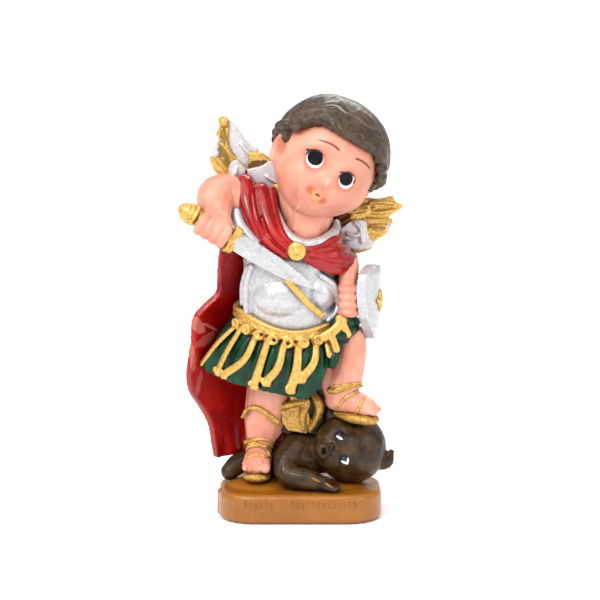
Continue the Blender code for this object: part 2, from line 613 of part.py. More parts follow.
# Cape
# The cape from the shoulders down: height, left edge x and y, right edge x and y, and backward bulge
CAPE_EDGES = [
    (67.0, -13.0, 3.0, 5.6, 3.0, 4.8), (60.0, -17.6, 2.6, 9.0, 3.6, 5.4),
    (53.0, -19.0, 2.0, 12.0, 4.6, 7.6), (48.0, -19.1, 1.4, 11.6, 6.0, 8.2),
    (45.4, -19.6, 0.8, 11.0, 6.6, 8.4), (42.6, -22.6, 0.0, 10.2, 7.2, 8.4),
    (39.5, -25.0, -0.6, 9.2, 8.2, 8.2), (34.0, -25.3, -1.4, 6.8, 9.4, 7.8),
    (27.0, -26.4, -1.6, 3.8, 9.8, 7.2), (22.5, -25.9, -0.8, 1.8, 9.8, 6.2),
    (18.5, -23.6, 0.8, 0.4, 9.7, 5.0), (14.5, -21.6, 1.8, -1.2, 9.5, 4.4),
    (10.0, -20.8, 2.6, -2.6, 9.2, 3.6), (5.6, -20.2, 3.4, -3.6, 9.0, 2.8),
]
CAPE_THICKNESS = 1.7


def model_cape(clay):
    """The drape behind the figure, swung to the viewer's left."""
    rows = []
    last = len(CAPE_EDGES) - 1
    for i, (z, left, left_y, right, right_y, bulge) in enumerate(CAPE_EDGES):
        low = (67.0 - z) / 61.0
        near = CAPE_EDGES[max(i - 2, 0):min(i + 2, last) + 1]
        steady = sum(edges[1] for edges in near) / len(near)
        row = []
        for k in range(9):
            t = k / 8
            x = left + (right - left) * t + (steady - left) * min(1.0, 3 * t) * (1 - t)
            fold = (0.4 + 0.7 * low) * math.cos(math.pi * k + 2.0 * low) * min(1.0, 4 * t)
            y = left_y + (right_y - left_y) * t + bulge * math.sin(math.pi * t) + fold
            row.append((x, y, z))
        rows.append(row)
    drape(clay, rows, CAPE_THICKNESS, 4, 3)


# Each roll of the mantle over the shoulders: its path, then its radii
MANTLE_LEFT = [
    ([(-12.2, 5.6, 62.0), (-12.4, 5.6, 68.0), (-12.9, 2.0, 71.6), (-12.7, -1.6, 69.6),
      (-11.8, -4.0, 66.0), (-10.4, -5.6, 62.4), (-9.4, -6.4, 60.2)],
     [2.0, 2.2, 2.3, 2.3, 2.1, 1.9, 1.5]),
    ([(-8.4, 7.0, 61.0), (-8.8, 6.2, 67.0), (-9.2, 1.8, 70.0), (-8.8, -1.8, 68.2),
      (-7.8, -4.6, 64.4), (-6.0, -6.6, 60.6), (-3.0, -7.8, 57.6)],
     [1.8, 1.9, 1.9, 1.9, 1.8, 1.7, 1.3]),
    ([(-5.6, 7.0, 62.0), (-6.4, 5.2, 67.4), (-6.6, 1.2, 69.8), (-6.4, -1.8, 67.4),
      (-5.6, -4.6, 63.6), (-4.0, -6.6, 60.2), (-1.8, -7.6, 58.0)],
     [1.3, 1.3, 1.3, 1.3, 1.2, 1.2, 1.0]),
    ([(-9.2, -6.0, 60.2), (-6.6, -7.2, 57.8), (-3.4, -8.0, 56.0)],
     [1.5, 1.4, 1.1]),
]
MANTLE_RIGHT = [
    ([(1.0, -7.9, 57.0), (4.6, -7.1, 57.3), (7.2, -5.0, 58.4), (8.4, -1.2, 58.8),
      (8.4, 3.6, 58.8)],
     [0.9, 1.3, 1.6, 1.7, 1.8]),
    ([(1.2, -8.1, 56.2), (5.2, -7.6, 56.0), (8.4, -5.8, 56.2), (9.9, -1.8, 56.0),
      (10.2, 4.0, 55.8)],
     [0.9, 1.5, 1.7, 1.7, 1.9]),
    ([(1.4, -8.2, 55.2), (5.4, -7.8, 54.4), (9.0, -6.4, 54.1), (11.5, -2.6, 53.9),
      (12.0, 3.6, 53.4)],
     [0.9, 1.5, 1.8, 1.8, 1.8]),
    ([(1.6, -8.0, 54.9), (4.4, -7.9, 53.6), (7.6, -7.0, 52.5), (11.2, -3.6, 52.6),
      (12.3, 1.6, 52.2)],
     [0.8, 1.1, 1.3, 1.4, 1.5]),
]


def model_mantle(clay):
    """The cape's rolls across the shoulders, gathered at the clasp."""
    for path, radii in MANTLE_LEFT + MANTLE_RIGHT:
        limb(clay, path, radii)


def model_clasp(clay):
    """The round clasp at the throat."""
    turn = Matrix.Rotation(math.radians(12), 3, "X")
    ball(clay, (-0.7, -8.7, 56.9), (2.3, 1.2, 2.3), turn)
    ball(clay, (-0.7, -9.2, 56.9), (1.3, 0.9, 1.3), turn, 2)


# Wings
# Each group of feathers: its outline in X and Z, then the depth of its front
LEFT_WING = [
    ([(-17.9, 86.2), (-16.5, 85.8), (-14.6, 83.9), (-13.1, 81.4), (-11.4, 79.8), (-10.0, 79.2),
      (-7.0, 72.0), (-13.0, 73.0), (-16.7, 79.2), (-18.0, 81.1)], 7.6),
    ([(-18.0, 86.9), (-19.2, 86.0), (-19.0, 84.2), (-19.8, 82.6), (-19.6, 79.0), (-16.8, 79.0),
      (-16.7, 84.0), (-16.8, 86.2)], 7.0),
    ([(-19.5, 82.0), (-20.4, 79.6), (-20.2, 78.0), (-21.2, 76.2), (-20.3, 74.0), (-17.0, 70.4),
      (-13.4, 71.0), (-15.2, 75.4), (-15.6, 77.4), (-16.8, 80.0)], 6.6),
    ([(-12.0, 78.3), (-8.9, 78.3), (-6.0, 76.2), (-6.0, 70.0), (-12.5, 72.0)], 6.2),
    ([(-12.4, 74.4), (-8.9, 75.2), (-7.3, 76.4), (-5.2, 75.9), (-2.7, 69.9), (-5.9, 67.3),
      (-11.7, 69.9)], 5.0),
]
RIGHT_WING = [
    ([(5.0, 60.0), (6.0, 64.0), (12.3, 65.4), (16.0, 67.5), (18.0, 67.3), (20.0, 67.5),
      (22.0, 68.0), (22.6, 66.4), (24.1, 66.0), (24.2, 65.0), (21.4, 63.2), (19.6, 61.6),
      (16.5, 61.4)], 7.4),
    ([(8.0, 57.0), (9.0, 62.2), (15.6, 62.6), (21.8, 62.5), (22.1, 61.2), (21.0, 59.4),
      (19.3, 58.0), (16.1, 57.0)], 6.9),
    ([(8.0, 55.6), (10.0, 60.0), (15.6, 59.4), (18.7, 58.2), (17.8, 56.9), (16.9, 55.3),
      (14.7, 54.5), (11.4, 54.0)], 6.4),
    ([(7.0, 60.0), (9.0, 63.4), (12.3, 64.9), (14.4, 65.7), (16.4, 66.0), (16.9, 64.0),
      (15.1, 62.9), (12.6, 61.4)], 5.8),
    ([(8.6, 57.6), (9.6, 60.4), (11.6, 62.0), (14.1, 62.6), (15.6, 62.2), (16.0, 59.0),
      (17.2, 57.0), (16.6, 55.6), (14.2, 55.2), (11.8, 55.6)], 5.2),
]
FEATHER_THICKNESS = 1.7


def model_wings(clay):
    """Two small fans of broad feathers behind the shoulders."""
    for outline, front in LEFT_WING + RIGHT_WING:
        plate(clay, outline, front, FEATHER_THICKNESS)
    limb(clay, [(-1.0, 4.0, 66.0), (-6.0, 6.4, 71.0), (-9.0, 7.4, 73.0)], [3.6, 2.4, 1.6], 0.6)
    limb(clay, [(3.0, 4.0, 60.0), (9.0, 6.4, 59.6), (12.0, 7.4, 59.4)], [3.6, 2.4, 1.6], 0.6)


# Casting
def add_object(name, mesh_form):
    """Turns a bmesh into an object of that name."""
    bmesh.ops.recalc_face_normals(mesh_form, faces=mesh_form.faces)
    mesh = bpy.data.meshes.new(name)
    mesh_form.to_mesh(mesh)
    mesh_form.free()
    made = bpy.data.objects.new(name, mesh)
    bpy.context.scene.collection.objects.link(made)
    return made


def paint(made, name, colour, roughness, metallic):
    """Gives the object a plain material."""
    material = bpy.data.materials.new(name)
    material.use_nodes = True
    shader = material.node_tree.nodes["Principled BSDF"]
    shader.inputs["Base Color"].default_value = (*colour, 1.0)
    shader.inputs["Roughness"].default_value = roughness
    shader.inputs["Metallic"].default_value = metallic
    made.data.materials.append(material)


FORMS = [
    model_ground, model_demon, model_demon_wings, model_web, model_standing_leg, model_raised_leg,
    model_sandals, model_garters, model_skirt, model_kilt_trim, model_cuirass, model_collar, model_baldric,
    model_sword_arm, model_blade, model_hilt, model_shield_arm, model_shield, model_shield_boss,
    model_head, model_hair, model_cape, model_mantle, model_clasp, model_wings,
]


def make_statue():
    """Casts all the forms in one and sets them on the plinth."""
    clay = bmesh.new()
    for form in FORMS:
        form(clay)
    statue = add_object("archangel_statue", clay)
    paint(statue, "painted_resin", (0.62, 0.30, 0.20), 0.35, 0.0)
    cast = statue.modifiers.new("cast in one", "REMESH")
    cast.mode = "VOXEL"
    cast.voxel_size = GRAIN
    soften = statue.modifiers.new("soft edges", "SMOOTH")
    soften.factor = 0.5
    soften.iterations = SOFTENING
    bpy.context.view_layer.update()
    dense = statue.evaluated_get(bpy.context.evaluated_depsgraph_get())
    faces = 2 * len(dense.data.polygons)
    thin = statue.modifiers.new("facets", "DECIMATE")
    thin.ratio = min(1.0, FACETS / faces)
    plinth = make_plinth()
    plinth.hide_render = True
    plinth.display_type = "WIRE"
    stand = statue.modifiers.new("stand on plinth", "BOOLEAN")
    stand.operation = "UNION"
    stand.object = plinth


for leftover in list(bpy.data.objects):
    bpy.data.objects.remove(leftover)
make_statue()
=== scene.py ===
"""The visual model of the archangel statuette: the same casting with its fine relief and its paint."""

import math

import bmesh
import bpy
from mathutils import Matrix, Vector
from mathutils.bvhtree import BVHTree


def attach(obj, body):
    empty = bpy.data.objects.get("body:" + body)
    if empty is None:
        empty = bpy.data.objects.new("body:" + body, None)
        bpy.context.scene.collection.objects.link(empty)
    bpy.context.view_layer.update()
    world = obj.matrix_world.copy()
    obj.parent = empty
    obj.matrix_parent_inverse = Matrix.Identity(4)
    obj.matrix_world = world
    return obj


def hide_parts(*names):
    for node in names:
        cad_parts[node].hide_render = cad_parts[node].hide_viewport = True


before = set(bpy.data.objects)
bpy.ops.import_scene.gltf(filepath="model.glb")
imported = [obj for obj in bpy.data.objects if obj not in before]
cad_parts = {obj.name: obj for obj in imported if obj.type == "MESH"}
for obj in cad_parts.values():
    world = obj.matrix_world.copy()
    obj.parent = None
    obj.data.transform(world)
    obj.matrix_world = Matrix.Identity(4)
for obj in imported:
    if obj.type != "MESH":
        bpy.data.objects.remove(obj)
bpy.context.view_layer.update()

# Driving sizes, in metres
FIGURE_HEIGHT = 0.092
PLINTH_WIDTH = 0.0384
PLINTH_DEPTH = 0.024
PLINTH_HEIGHT = 0.007
PLINTH_CORNER = 0.0085
PLINTH_EDGE = 0.0013

# The figure's canon
CANON = 92.0
UNIT = FIGURE_HEIGHT / CANON

# The head leans to the viewer's right and looks a little that way
HEAD_CENTRE = Vector((6.4, -1.0, 77.1))
HEAD_ROLL = math.radians(31)
HEAD_YAW = math.radians(7)
HEAD_TURN = Matrix.Rotation(HEAD_ROLL, 3, "Y") @ Matrix.Rotation(HEAD_YAW, 3, "Z")

# The sword runs down to the viewer's right, across the chest
SWORD_HAND = Vector((-19.7, -9.8, 62.4))
SWORD_LINE = Vector((0.851, 0.03, -0.524)).normalized()
SWORD_EDGE = Vector((-0.524, 0.0, -0.852)).normalized()
TOWARDS_VIEWER = Vector((0.0, -1.0, 0.0))

# The shield hangs outside the left fist, its face turned a little to the viewer
SHIELD_CENTRE = Vector((15.8, -1.6, 44.6))
SHIELD_TURN = math.radians(17)
SHIELD_WIDTH = 13.0
SHIELD_THICKNESS = 2.1


def place(point):
    """A point of the canon as a place in the world."""
    return Vector(point) * UNIT + Vector((0.0, 0.0, PLINTH_HEIGHT))


def curve_point(near, t):
    """A point between the middle two of four points, on a smooth curve (Catmull-Rom)."""
    a, b, c, d = near
    bend = (2 * a - 5 * b + 4 * c - d) * t**2 + (3 * b - a - 3 * c + d) * t**3
    return 0.5 * (2 * b + (c - a) * t + bend)


def smooth_path(points, steps):
    """Points along a smooth curve through the given ones."""
    points = [Vector(p) for p in points]
    padded = [2 * points[0] - points[1], *points, 2 * points[-1] - points[-2]]
    path = []
    for near in zip(padded, padded[1:], padded[2:], padded[3:]):
        path += [curve_point(near, step / steps) for step in range(steps)]
    return path + [points[-1]]


def bridge(clay, rings):
    """Joins rings of vertices one to the next, and closes both ends with a fan."""
    for lower, upper in zip(rings, rings[1:]):
        for i in range(len(lower)):
            j = (i + 1) % len(lower)
            clay.faces.new((lower[i], lower[j], upper[j], upper[i]))
    for ring, turn in ((rings[0], -1), (rings[-1], 1)):
        middle = sum((v.co for v in ring), Vector()) / len(ring)
        hub = clay.verts.new(middle)
        for i in range(len(ring)):
            ends = (ring[i], ring[(i + 1) % len(ring)])[::turn]
            clay.faces.new((*ends, hub))


def ball(clay, centre, radii, turn=None, detail=3):
    """An ellipsoid with its own turn."""
    turn = turn or Matrix.Identity(3)
    size = Matrix.Diagonal((*(r * UNIT for r in radii), 1.0))
    matrix = Matrix.Translation(place(centre)) @ turn.to_4x4() @ size
    bmesh.ops.create_icosphere(clay, subdivisions=detail, radius=1.0, matrix=matrix)


def limb(clay, path, radii, flat=1.0, side=(0.0, 1.0, 0.0), steps=4, sides=12):
    """A round-ended limb along a smooth path. Its section is squeezed by flat along side."""
    knots = smooth_path(path, steps)
    widths = [v.x for v in smooth_path([(r, 0.0, 0.0) for r in radii], steps)]
    sides_of = side if isinstance(side, list) else [side] * len(path)
    presses = smooth_path(sides_of, steps)
    stations = []
    last = len(knots) - 1
    for i, (knot, width) in enumerate(zip(knots, widths)):
        along = (knots[min(i + 1, last)] - knots[max(i - 1, 0)]).normalized()
        if i == 0:
            stations += [(knot - along * width * c, width * s, along, presses[i]) for c, s in CAP]
        stations.append((knot, width, along, presses[i]))
        if i == last:
            stations += [
                (knot + along * width * c, width * s, along, presses[i]) for c, s in CAP[::-1]
            ]
    rings = []
    for centre, width, along, press in stations:
        across = (press - along * press.dot(along)).normalized()
        other = along.cross(across)
        ring = []
        for k in range(sides):
            a = 2 * math.pi * k / sides
            ring.append(clay.verts.new(place(
                centre + across * (flat * width * math.cos(a)) + other * (width * math.sin(a))
            )))
        rings.append(ring)
    bridge(clay, rings)


CAP = [(math.cos(math.radians(a)), math.sin(math.radians(a))) for a in (15, 45, 70)]


def drape(clay, rows, thickness, across=4, down=4):
    """A sheet of cast cloth of even thickness through rows of points."""
    lines = [smooth_path(row, across) for row in rows]
    columns = [smooth_path(column, down) for column in zip(*lines)]
    wide, tall = len(columns), len(columns[0])
    front = [[None] * tall for _ in range(wide)]
    back = [[None] * tall for _ in range(wide)]
    for i in range(wide):
        for j in range(tall):
            over = columns[min(i + 1, wide - 1)][j] - columns[max(i - 1, 0)][j]
            below = columns[i][min(j + 1, tall - 1)] - columns[i][max(j - 1, 0)]
            out = over.cross(below).normalized() * (thickness / 2)
            front[i][j] = clay.verts.new(place(columns[i][j] + out))
            back[i][j] = clay.verts.new(place(columns[i][j] - out))
    for i in range(wide - 1):
        for j in range(tall - 1):
            clay.faces.new((front[i][j], front[i][j + 1], front[i + 1][j + 1], front[i + 1][j]))
            clay.faces.new((back[i][j], back[i + 1][j], back[i + 1][j + 1], back[i][j + 1]))
    border = [(i, 0) for i in range(wide)]
    border += [(wide - 1, j) for j in range(1, tall)]
    border += [(i, tall - 1) for i in reversed(range(wide - 1))]
    border += [(0, j) for j in reversed(range(1, tall - 1))]
    for (i, j), (k, m) in zip(border, border[1:] + border[:1]):
        clay.faces.new((front[i][j], front[k][m], back[k][m], back[i][j]))


def plate(clay, outline, front, thickness):
    """A flat plate: its outline in X and Z, and the depth of its front face."""
    near = [clay.verts.new(place((x, front, z))) for x, z in outline]
    far = [clay.verts.new(place((x, front + thickness, z))) for x, z in outline]
    clay.faces.new(near)
    clay.faces.new(far[::-1])
    for i in range(len(outline)):
        j = (i + 1) % len(outline)
        clay.faces.new((near[j], near[i], far[i], far[j]))


def head_place(local):
    """A point of the head's own frame (X right, -Y forwards, Z up) on the canon."""
    return HEAD_CENTRE + HEAD_TURN @ Vector(local)


# Plinth
def rounded_outline(width, depth, corner, steps=8):
    """The corners of a rounded rectangle, going round anticlockwise."""
    outline = []
    for k, (sx, sy) in enumerate(((1, 1), (-1, 1), (-1, -1), (1, -1))):
        for step in range(steps + 1):
            a = math.pi / 2 * (k + step / steps)
            outline.append((
                sx * (width / 2 - corner) + corner * math.cos(a),
                sy * (depth / 2 - corner) + corner * math.sin(a),
            ))
    return outline


def model_ground(clay):
    """The low mound that the standing foot and the demon share."""
    ball(clay, (-9.6, 0.6, -0.2), (7.6, 7.4, 1.7))
    ball(clay, (7.0, 1.0, -0.5), (10.0, 7.5, 1.5))


# Demon
DEMON_HEAD = Vector((12.2, 0.6, 8.6))


def model_demon(clay):
    """The demon lies on its belly, head to the viewer's right, under the raised foot."""
    ball(clay, DEMON_HEAD, (8.4, 7.9, 8.5))
    ball(clay, (9.4, -2.2, 9.4), (6.4, 6.2, 7.2))
    ball(clay, (6.0, -6.1, 9.9), (2.5, 2.2, 2.7))
    lips = [(5.5 + 1.0 * math.cos(a), -8.4, 9.9 + 1.3 * math.sin(a))
            for a in (math.pi / 4 * k for k in range(9))]
    limb(clay, lips, [0.55] * 9, steps=2, sides=6)
    limb(clay, [(7.0, -8.1, 9.6), (7.5, -8.0, 11.2)], [0.7, 0.6], sides=6)
    for eye in ((9.3, -7.6, 13.0), (10.6, -8.0, 7.2)):
        ball(clay, eye, (1.3, 0.9, 1.4), None, 2)
    limb(clay, [(18.2, 0.2, 5.8), (20.4, 0.0, 5.6), (21.6, -0.2, 7.7)], [2.6, 2.0, 0.8], 0.7)
    limb(clay, [(8.6, -0.6, 14.6), (7.2, -0.6, 16.6), (6.9, -0.6, 18.4)], [2.6, 1.8, 0.7], 0.7)
    limb(clay, [(11.5, 4.5, 6.0), (5.0, 3.0, 6.8), (0.6, 1.4, 6.4), (-6.0, 4.2, 4.0)],
         [5.0, 5.0, 5.6, 4.2], steps=5)
    ball(clay, (-0.2, 0.4, 7.0), (5.2, 4.8, 5.6))
    limb(clay, [(-0.8, -0.6, 8.6), (-3.2, -3.6, 6.0), (-2.8, -6.0, 3.6), (1.6, -7.6, 2.9),
                (5.6, -8.4, 2.1)],
         [3.8, 3.1, 2.7, 2.4, 1.8])
    for k in range(3):
        reach = 9.0 - 0.5 * k
        limb(clay, [(5.2, -7.5 - 0.9 * k, 1.9), (reach, -8.1 - 1.0 * k, 1.2)], [1.0, 0.75])
    limb(clay, [(-10.6, 5.8, 4.4), (-14.4, 4.8, 3.9), (-16.8, 3.0, 2.3)], [2.8, 2.7, 2.2])


def model_demon_wings(clay):
    """Two stubby wings that stand up from the demon's shoulders."""
    plate(clay, [(-4.8, 19.4), (-2.8, 20.2), (1.6, 20.8), (2.4, 16.0), (1.6, 12.6), (-2.8, 13.4),
                 (-4.2, 15.2)], -2.4, 3.0)
    limb(clay, [(-4.6, -2.2, 19.0), (-1.6, -2.9, 20.0), (1.6, -2.6, 20.4)], [0.9, 0.9, 0.9])
    limb(clay, [(-1.8, -2.4, 21.6), (0.6, -2.8, 22.2)], [0.9, 0.8])
    limb(clay, [(1.7, -2.4, 19.8), (0.6, -3.0, 17.2), (0.8, -2.2, 14.0)], [1.0, 0.9, 0.8])
    limb(clay, [(3.4, -0.8, 21.6), (4.5, -1.6, 19.6), (4.1, -0.8, 16.6), (2.6, 0.2, 13.4)],
         [1.0, 1.3, 1.2, 1.0], 2.0)


def model_web(clay):
    """The web of material that joins the legs behind the demon's wings."""
    plate(clay, [(-4.2, 12.0), (-4.4, 19.0), (1.6, 21.2), (4.0, 32.0), (10.0, 32.0), (9.0, 15.0),
                 (4.0, 12.0)], 0.4, 3.0)


# Legs and sandals
def model_standing_leg(clay):
    """The right leg stands on the plinth, the knee plump as a child's."""
    limb(clay, [(-5.6, 1.6, 29.0), (-7.4, 1.2, 21.0), (-8.4, 1.8, 14.6), (-9.4, 2.0, 9.6),
                (-9.7, 1.8, 6.4)],
         [6.2, 5.4, 4.9, 3.4, 3.2], steps=5)
    limb(clay, [(-9.8, 3.6, 5.2), (-10.0, 0.0, 6.0), (-10.1, -2.4, 5.4)], [3.0, 3.4, 3.3], 0.82,
         (0, 0, 1))
    for k, (x, r) in enumerate(((-12.8, 0.8), (-11.4, 0.85), (-9.9, 0.9), (-8.1, 1.2))):
        limb(clay, [(x, -2.8, 5.6), (x, -5.1 - 0.15 * k, 5.0)], [r + 0.1, r])


def model_raised_leg(clay):
    """The left leg bends, and its foot treads on the demon's head."""
    limb(clay, [(3.5, 0.9, 33.0), (8.5, -1.4, 36.6), (11.8, -2.6, 35.2), (11.6, -2.8, 29.6),
                (10.2, -2.6, 24.4), (9.8, -2.4, 21.6)],
         [6.2, 4.5, 3.7, 3.8, 4.0, 3.4], steps=5)
    limb(clay, [(5.6, -1.2, 31.0), (7.2, -2.0, 26.0), (8.0, -2.2, 22.0)], [2.8, 2.8, 2.2])
    limb(clay, [(8.6, -1.6, 20.8), (12.6, -3.8, 20.6), (15.7, -5.4, 19.6)], [3.0, 3.1, 2.6], 0.9,
         (0, 0, 1))
    for k in range(4):
        start = Vector((15.1 + 0.55 * k, -6.8 + 1.3 * k, 19.3))
        limb(clay, [start, start + Vector((2.1 - 0.15 * k, -1.1, -0.4))], [1.0, 0.8])


def model_sandals(clay):
    """The gold soles under both feet."""
    limb(clay, [(-9.9, 5.0, 2.4), (-10.1, 0.5, 2.5), (-10.2, -3.0, 2.6)], [3.0, 3.4, 3.4], 0.44,
         (0, 0, 1))
    limb(clay, [(10.4, -1.6, 17.5), (12.8, -3.8, 17.2), (15.7, -5.8, 17.0)], [2.8, 3.2, 3.0], 0.5,
         (0, 0, 1))


def model_garters(clay):
    """The tied bands below the knee and above the ankles."""
    limb(clay, [(-13.6, -1.0, 16.4), (-12.0, -3.0, 19.0), (-8.8, -3.9, 18.6), (-5.4, -3.4, 15.6)],
         [0.45, 0.55, 0.65, 0.8])
    limb(clay, [(-12.9, 0.6, 10.0), (-11.0, -1.1, 11.0), (-8.6, -1.3, 11.2), (-6.4, 0.4, 10.2)],
         [0.6] * 4)
    limb(clay, [(7.0, -4.8, 23.6), (9.0, -6.2, 24.0), (12.4, -6.2, 25.0), (14.4, -4.6, 24.6)],
         [0.9, 0.9, 0.5, 0.45])


# Skirt
HEM = [
    (13.4, -3.6, 38.8), (11.5, 5.0, 35.0), (6.0, 8.4, 31.0), (-2.0, 9.4, 28.5),
    (-10.5, 8.6, 27.5), (-17.6, 5.2, 27.6), (-22.6, 0.6, 28.5), (-19.9, -3.2, 26.3),
    (-12.2, -6.8, 24.6), (-3.4, -8.6, 22.9), (2.8, -8.8, 22.8), (8.6, -9.0, 31.8),
]
WAIST = Vector((-2.0, 1.2, 40.9))
WAIST_WIDE, WAIST_DEEP = 12.2, 8.8
PLEATS = 11


def hem_point(turn):
    """The hem's point at a turn round the body, in degrees: 0 is right, 270 the front."""
    step = (turn % 360) / 30
    i, t = int(step), step - int(step)
    return curve_point([Vector(HEM[(i + k) % 12]) for k in (-1, 0, 1, 2)], t)


def waist_point(turn, out=0.0):
    """A point on the waist, which dips under the belly and rises behind."""
    a = math.radians(turn)
    c, s = math.cos(a), math.sin(a)
    dip = 3.7 * max(0.0, -s) ** 3
    rise = 1.9 * max(0.0, s) - 0.8 * c
    deep = (WAIST_DEEP + out) * (0.86 if s > 0 else 1.0)
    return WAIST + Vector(((WAIST_WIDE + out) * c, deep * s, rise - dip))


def skirt_point(turn, drop, lift=0.0):
    """A point of the skirt from waist (drop 0) to hem (drop 1), lifted off the cloth."""
    top, bottom = waist_point(turn), hem_point(turn)
    a = math.radians(turn)
    out = Vector((math.cos(a), math.sin(a), 0.25))
    swell = 1.3 * math.sin(math.pi * drop)
    pleat = 0.55 * drop * math.cos(PLEATS * a)
    return top.lerp(bottom, drop) + out * (swell + pleat + lift)


def model_skirt(clay):
    """The flared kilt, lifted on the viewer's right by the raised thigh."""
    rings = []
    for drop in (-0.08, 0.0, 0.15, 0.3, 0.45, 0.6, 0.75, 0.9, 1.0):
        rings.append([clay.verts.new(place(skirt_point(5 * k, drop))) for k in range(72)])
    inner = Vector((-2.6, 1.0, 31.0))
    rings.append([clay.verts.new(place(hem_point(5 * k).lerp(inner, 0.25))) for k in range(72)])
    bridge(clay, rings[::-1])
    limb(clay, [(8.4, -6.6, 39.8), (10.8, -5.6, 40.3), (12.7, -2.6, 39.4)], [1.5, 1.8, 1.5])
    limb(clay, [(8.8, -7.6, 37.0), (10.6, -6.6, 37.7), (12.6, -3.8, 38.0)], [1.5, 1.7, 1.4])


# Each strip of the kilt: turn and drop at its top, its middle and its end, and its half width
STRIPS = [
    ((213, 0.10), (203, 0.50), (189, 0.93), 0.80),
    ((219, 0.14), (217, 0.54), (212, 0.90), 0.90),
    ((237, 0.16), (235, 0.58), (221, 0.90), 1.00),
    ((249, 0.18), (248, 0.56), (245, 0.94), 1.05),
    ((264, 0.18), (262, 0.56), (254, 0.84), 1.00),
    ((278, 0.18), (278, 0.54), (274, 0.88), 1.15),
    ((296, 0.18), (294, 0.46), (283, 0.70), 1.00),
    ((309, 0.12), (310, 0.30), (313, 0.50), 1.15),
]
# Ribbons at the belt's right end: three points and a half width
RIBBONS = [
    ([(5.6, -9.2, 37.0), (8.0, -9.0, 38.6), (9.8, -8.2, 40.6)], 1.2),
    ([(9.1, -8.4, 41.2), (10.2, -8.2, 39.2), (11.0, -7.9, 37.4)], 1.0),
    ([(7.2, -9.4, 37.4), (7.9, -9.5, 35.8), (8.4, -9.6, 34.2)], 0.9),
]
DISC_TURNS = [214, 228, 241, 254, 268, 282, 296]


def model_kilt_trim(clay):
    """The gold belt, its row of discs and the gold strips that hang from it."""
    loop = [waist_point(20 * k, 0.6) for k in range(19)]
    out = [Matrix.Rotation(math.radians(20 * k), 3, "Z") @ Vector((1, 0, 0)) for k in range(19)]
    limb(clay, loop, [1.25] * 19, 0.75, out, steps=3, sides=10)
    for turn in DISC_TURNS:
        facing = Matrix.Rotation(math.radians(turn), 3, "Z")
        ball(clay, skirt_point(turn, 0.13, 0.9), (1.1, 1.5, 1.45), facing, 2)
    for ribbon, half in RIBBONS:
        limb(clay, ribbon, [half] * 3, 0.55, sides=8)
    for top, middle, end, half in STRIPS:
        path = [skirt_point(turn, drop, 0.75) for turn, drop in (top, middle, end)]
        outs = [Vector((math.cos(math.radians(turn)), math.sin(math.radians(turn)), 0.3))
                for turn, _ in (top, middle, end)]
        limb(clay, path, [half * 0.85, half, half * 1.15], 0.6, outs, sides=8)


# Cuirass
# Each section of the trunk: height, middle x and y, half width, half depth and tilt
TRUNK = [
    (36.0, -2.0, 1.2, 11.2, 8.0, 0.00), (39.5, -2.0, 1.2, 11.6, 8.4, 0.00),
    (42.5, -2.3, 1.0, 11.1, 8.5, 0.00), (46.0, -2.4, 0.8, 10.9, 8.6, 0.00),
    (50.0, -2.2, 0.8, 11.0, 8.5, 0.03), (54.0, -1.9, 1.0, 11.5, 8.2, 0.08),
    (57.5, -1.8, 1.6, 12.2, 7.0, 0.18), (60.5, -2.6, 2.6, 11.6, 5.4, 0.32),
    (63.5, -4.0, 3.4, 9.6, 4.2, 0.40), (66.5, -5.4, 3.8, 6.4, 3.2, 0.42),
]


def model_cuirass(clay):
    """The trunk in its breastplate, with a round belly and rims at the sides."""
    rings = []
    for z, x, y, wide, deep, tilt in TRUNK:
        ring = []
        for k in range(40):
            a = 2 * math.pi * k / 40
            dx = wide * math.copysign(abs(math.cos(a)) ** 0.9, math.cos(a))
            dy = deep * math.copysign(abs(math.sin(a)) ** 0.9, math.sin(a))
            ring.append(clay.verts.new(place((x + dx, y + dy, z - tilt * dx))))
        rings.append(ring)
    bridge(clay, rings)
    ball(clay, (-4.0, -1.4, 45.6), (8.0, 7.6, 6.8))
    ball(clay, (4.3, -2.6, 46.6), (4.2, 5.2, 5.4))
    ball(clay, (-7.0, -2.4, 54.6), (4.6, 4.4, 4.2))
    ball(clay, (3.6, -2.6, 53.0), (4.6, 4.6, 4.4))
    limb(clay, [(4.6, -6.6, 51.4), (7.6, -4.6, 48.8), (9.0, -1.6, 45.6), (8.9, -1.4, 42.6),
                (6.4, -5.2, 41.0)],
         [0.9] * 5)
    limb(clay, [(-12.0, -4.2, 52.4), (-13.2, -1.6, 48.0), (-13.3, -1.2, 43.6)], [0.9] * 3)
    limb(clay, [(-14.8, -4.0, 65.2), (-13.8, -5.6, 62.2), (-10.6, -7.0, 58.6)], [1.5, 1.7, 1.6])


def model_collar(clay):
    """The silver neckline, which droops in front."""
    neckline = [
        (-6.4, 3.4, 67.6), (-6.2, -0.6, 66.4), (-4.6, -4.0, 62.4), (-2.2, -6.2, 59.6),
        (1.4, -6.8, 58.2), (5.2, -5.8, 58.9), (8.0, -2.2, 60.6), (8.6, 2.4, 62.0),
    ]
    limb(clay, neckline, [1.0, 1.2, 1.3, 1.3, 1.3, 1.3, 1.2, 1.0])


def model_baldric(clay):
    """The gold strap from the sword's point to the belt."""
    limb(clay, [(-3.0, -9.0, 50.3), (-0.6, -9.2, 47.6), (2.0, -8.7, 44.6), (5.0, -7.6, 41.8)],
         [0.75, 0.8, 0.85, 0.8], 0.6)


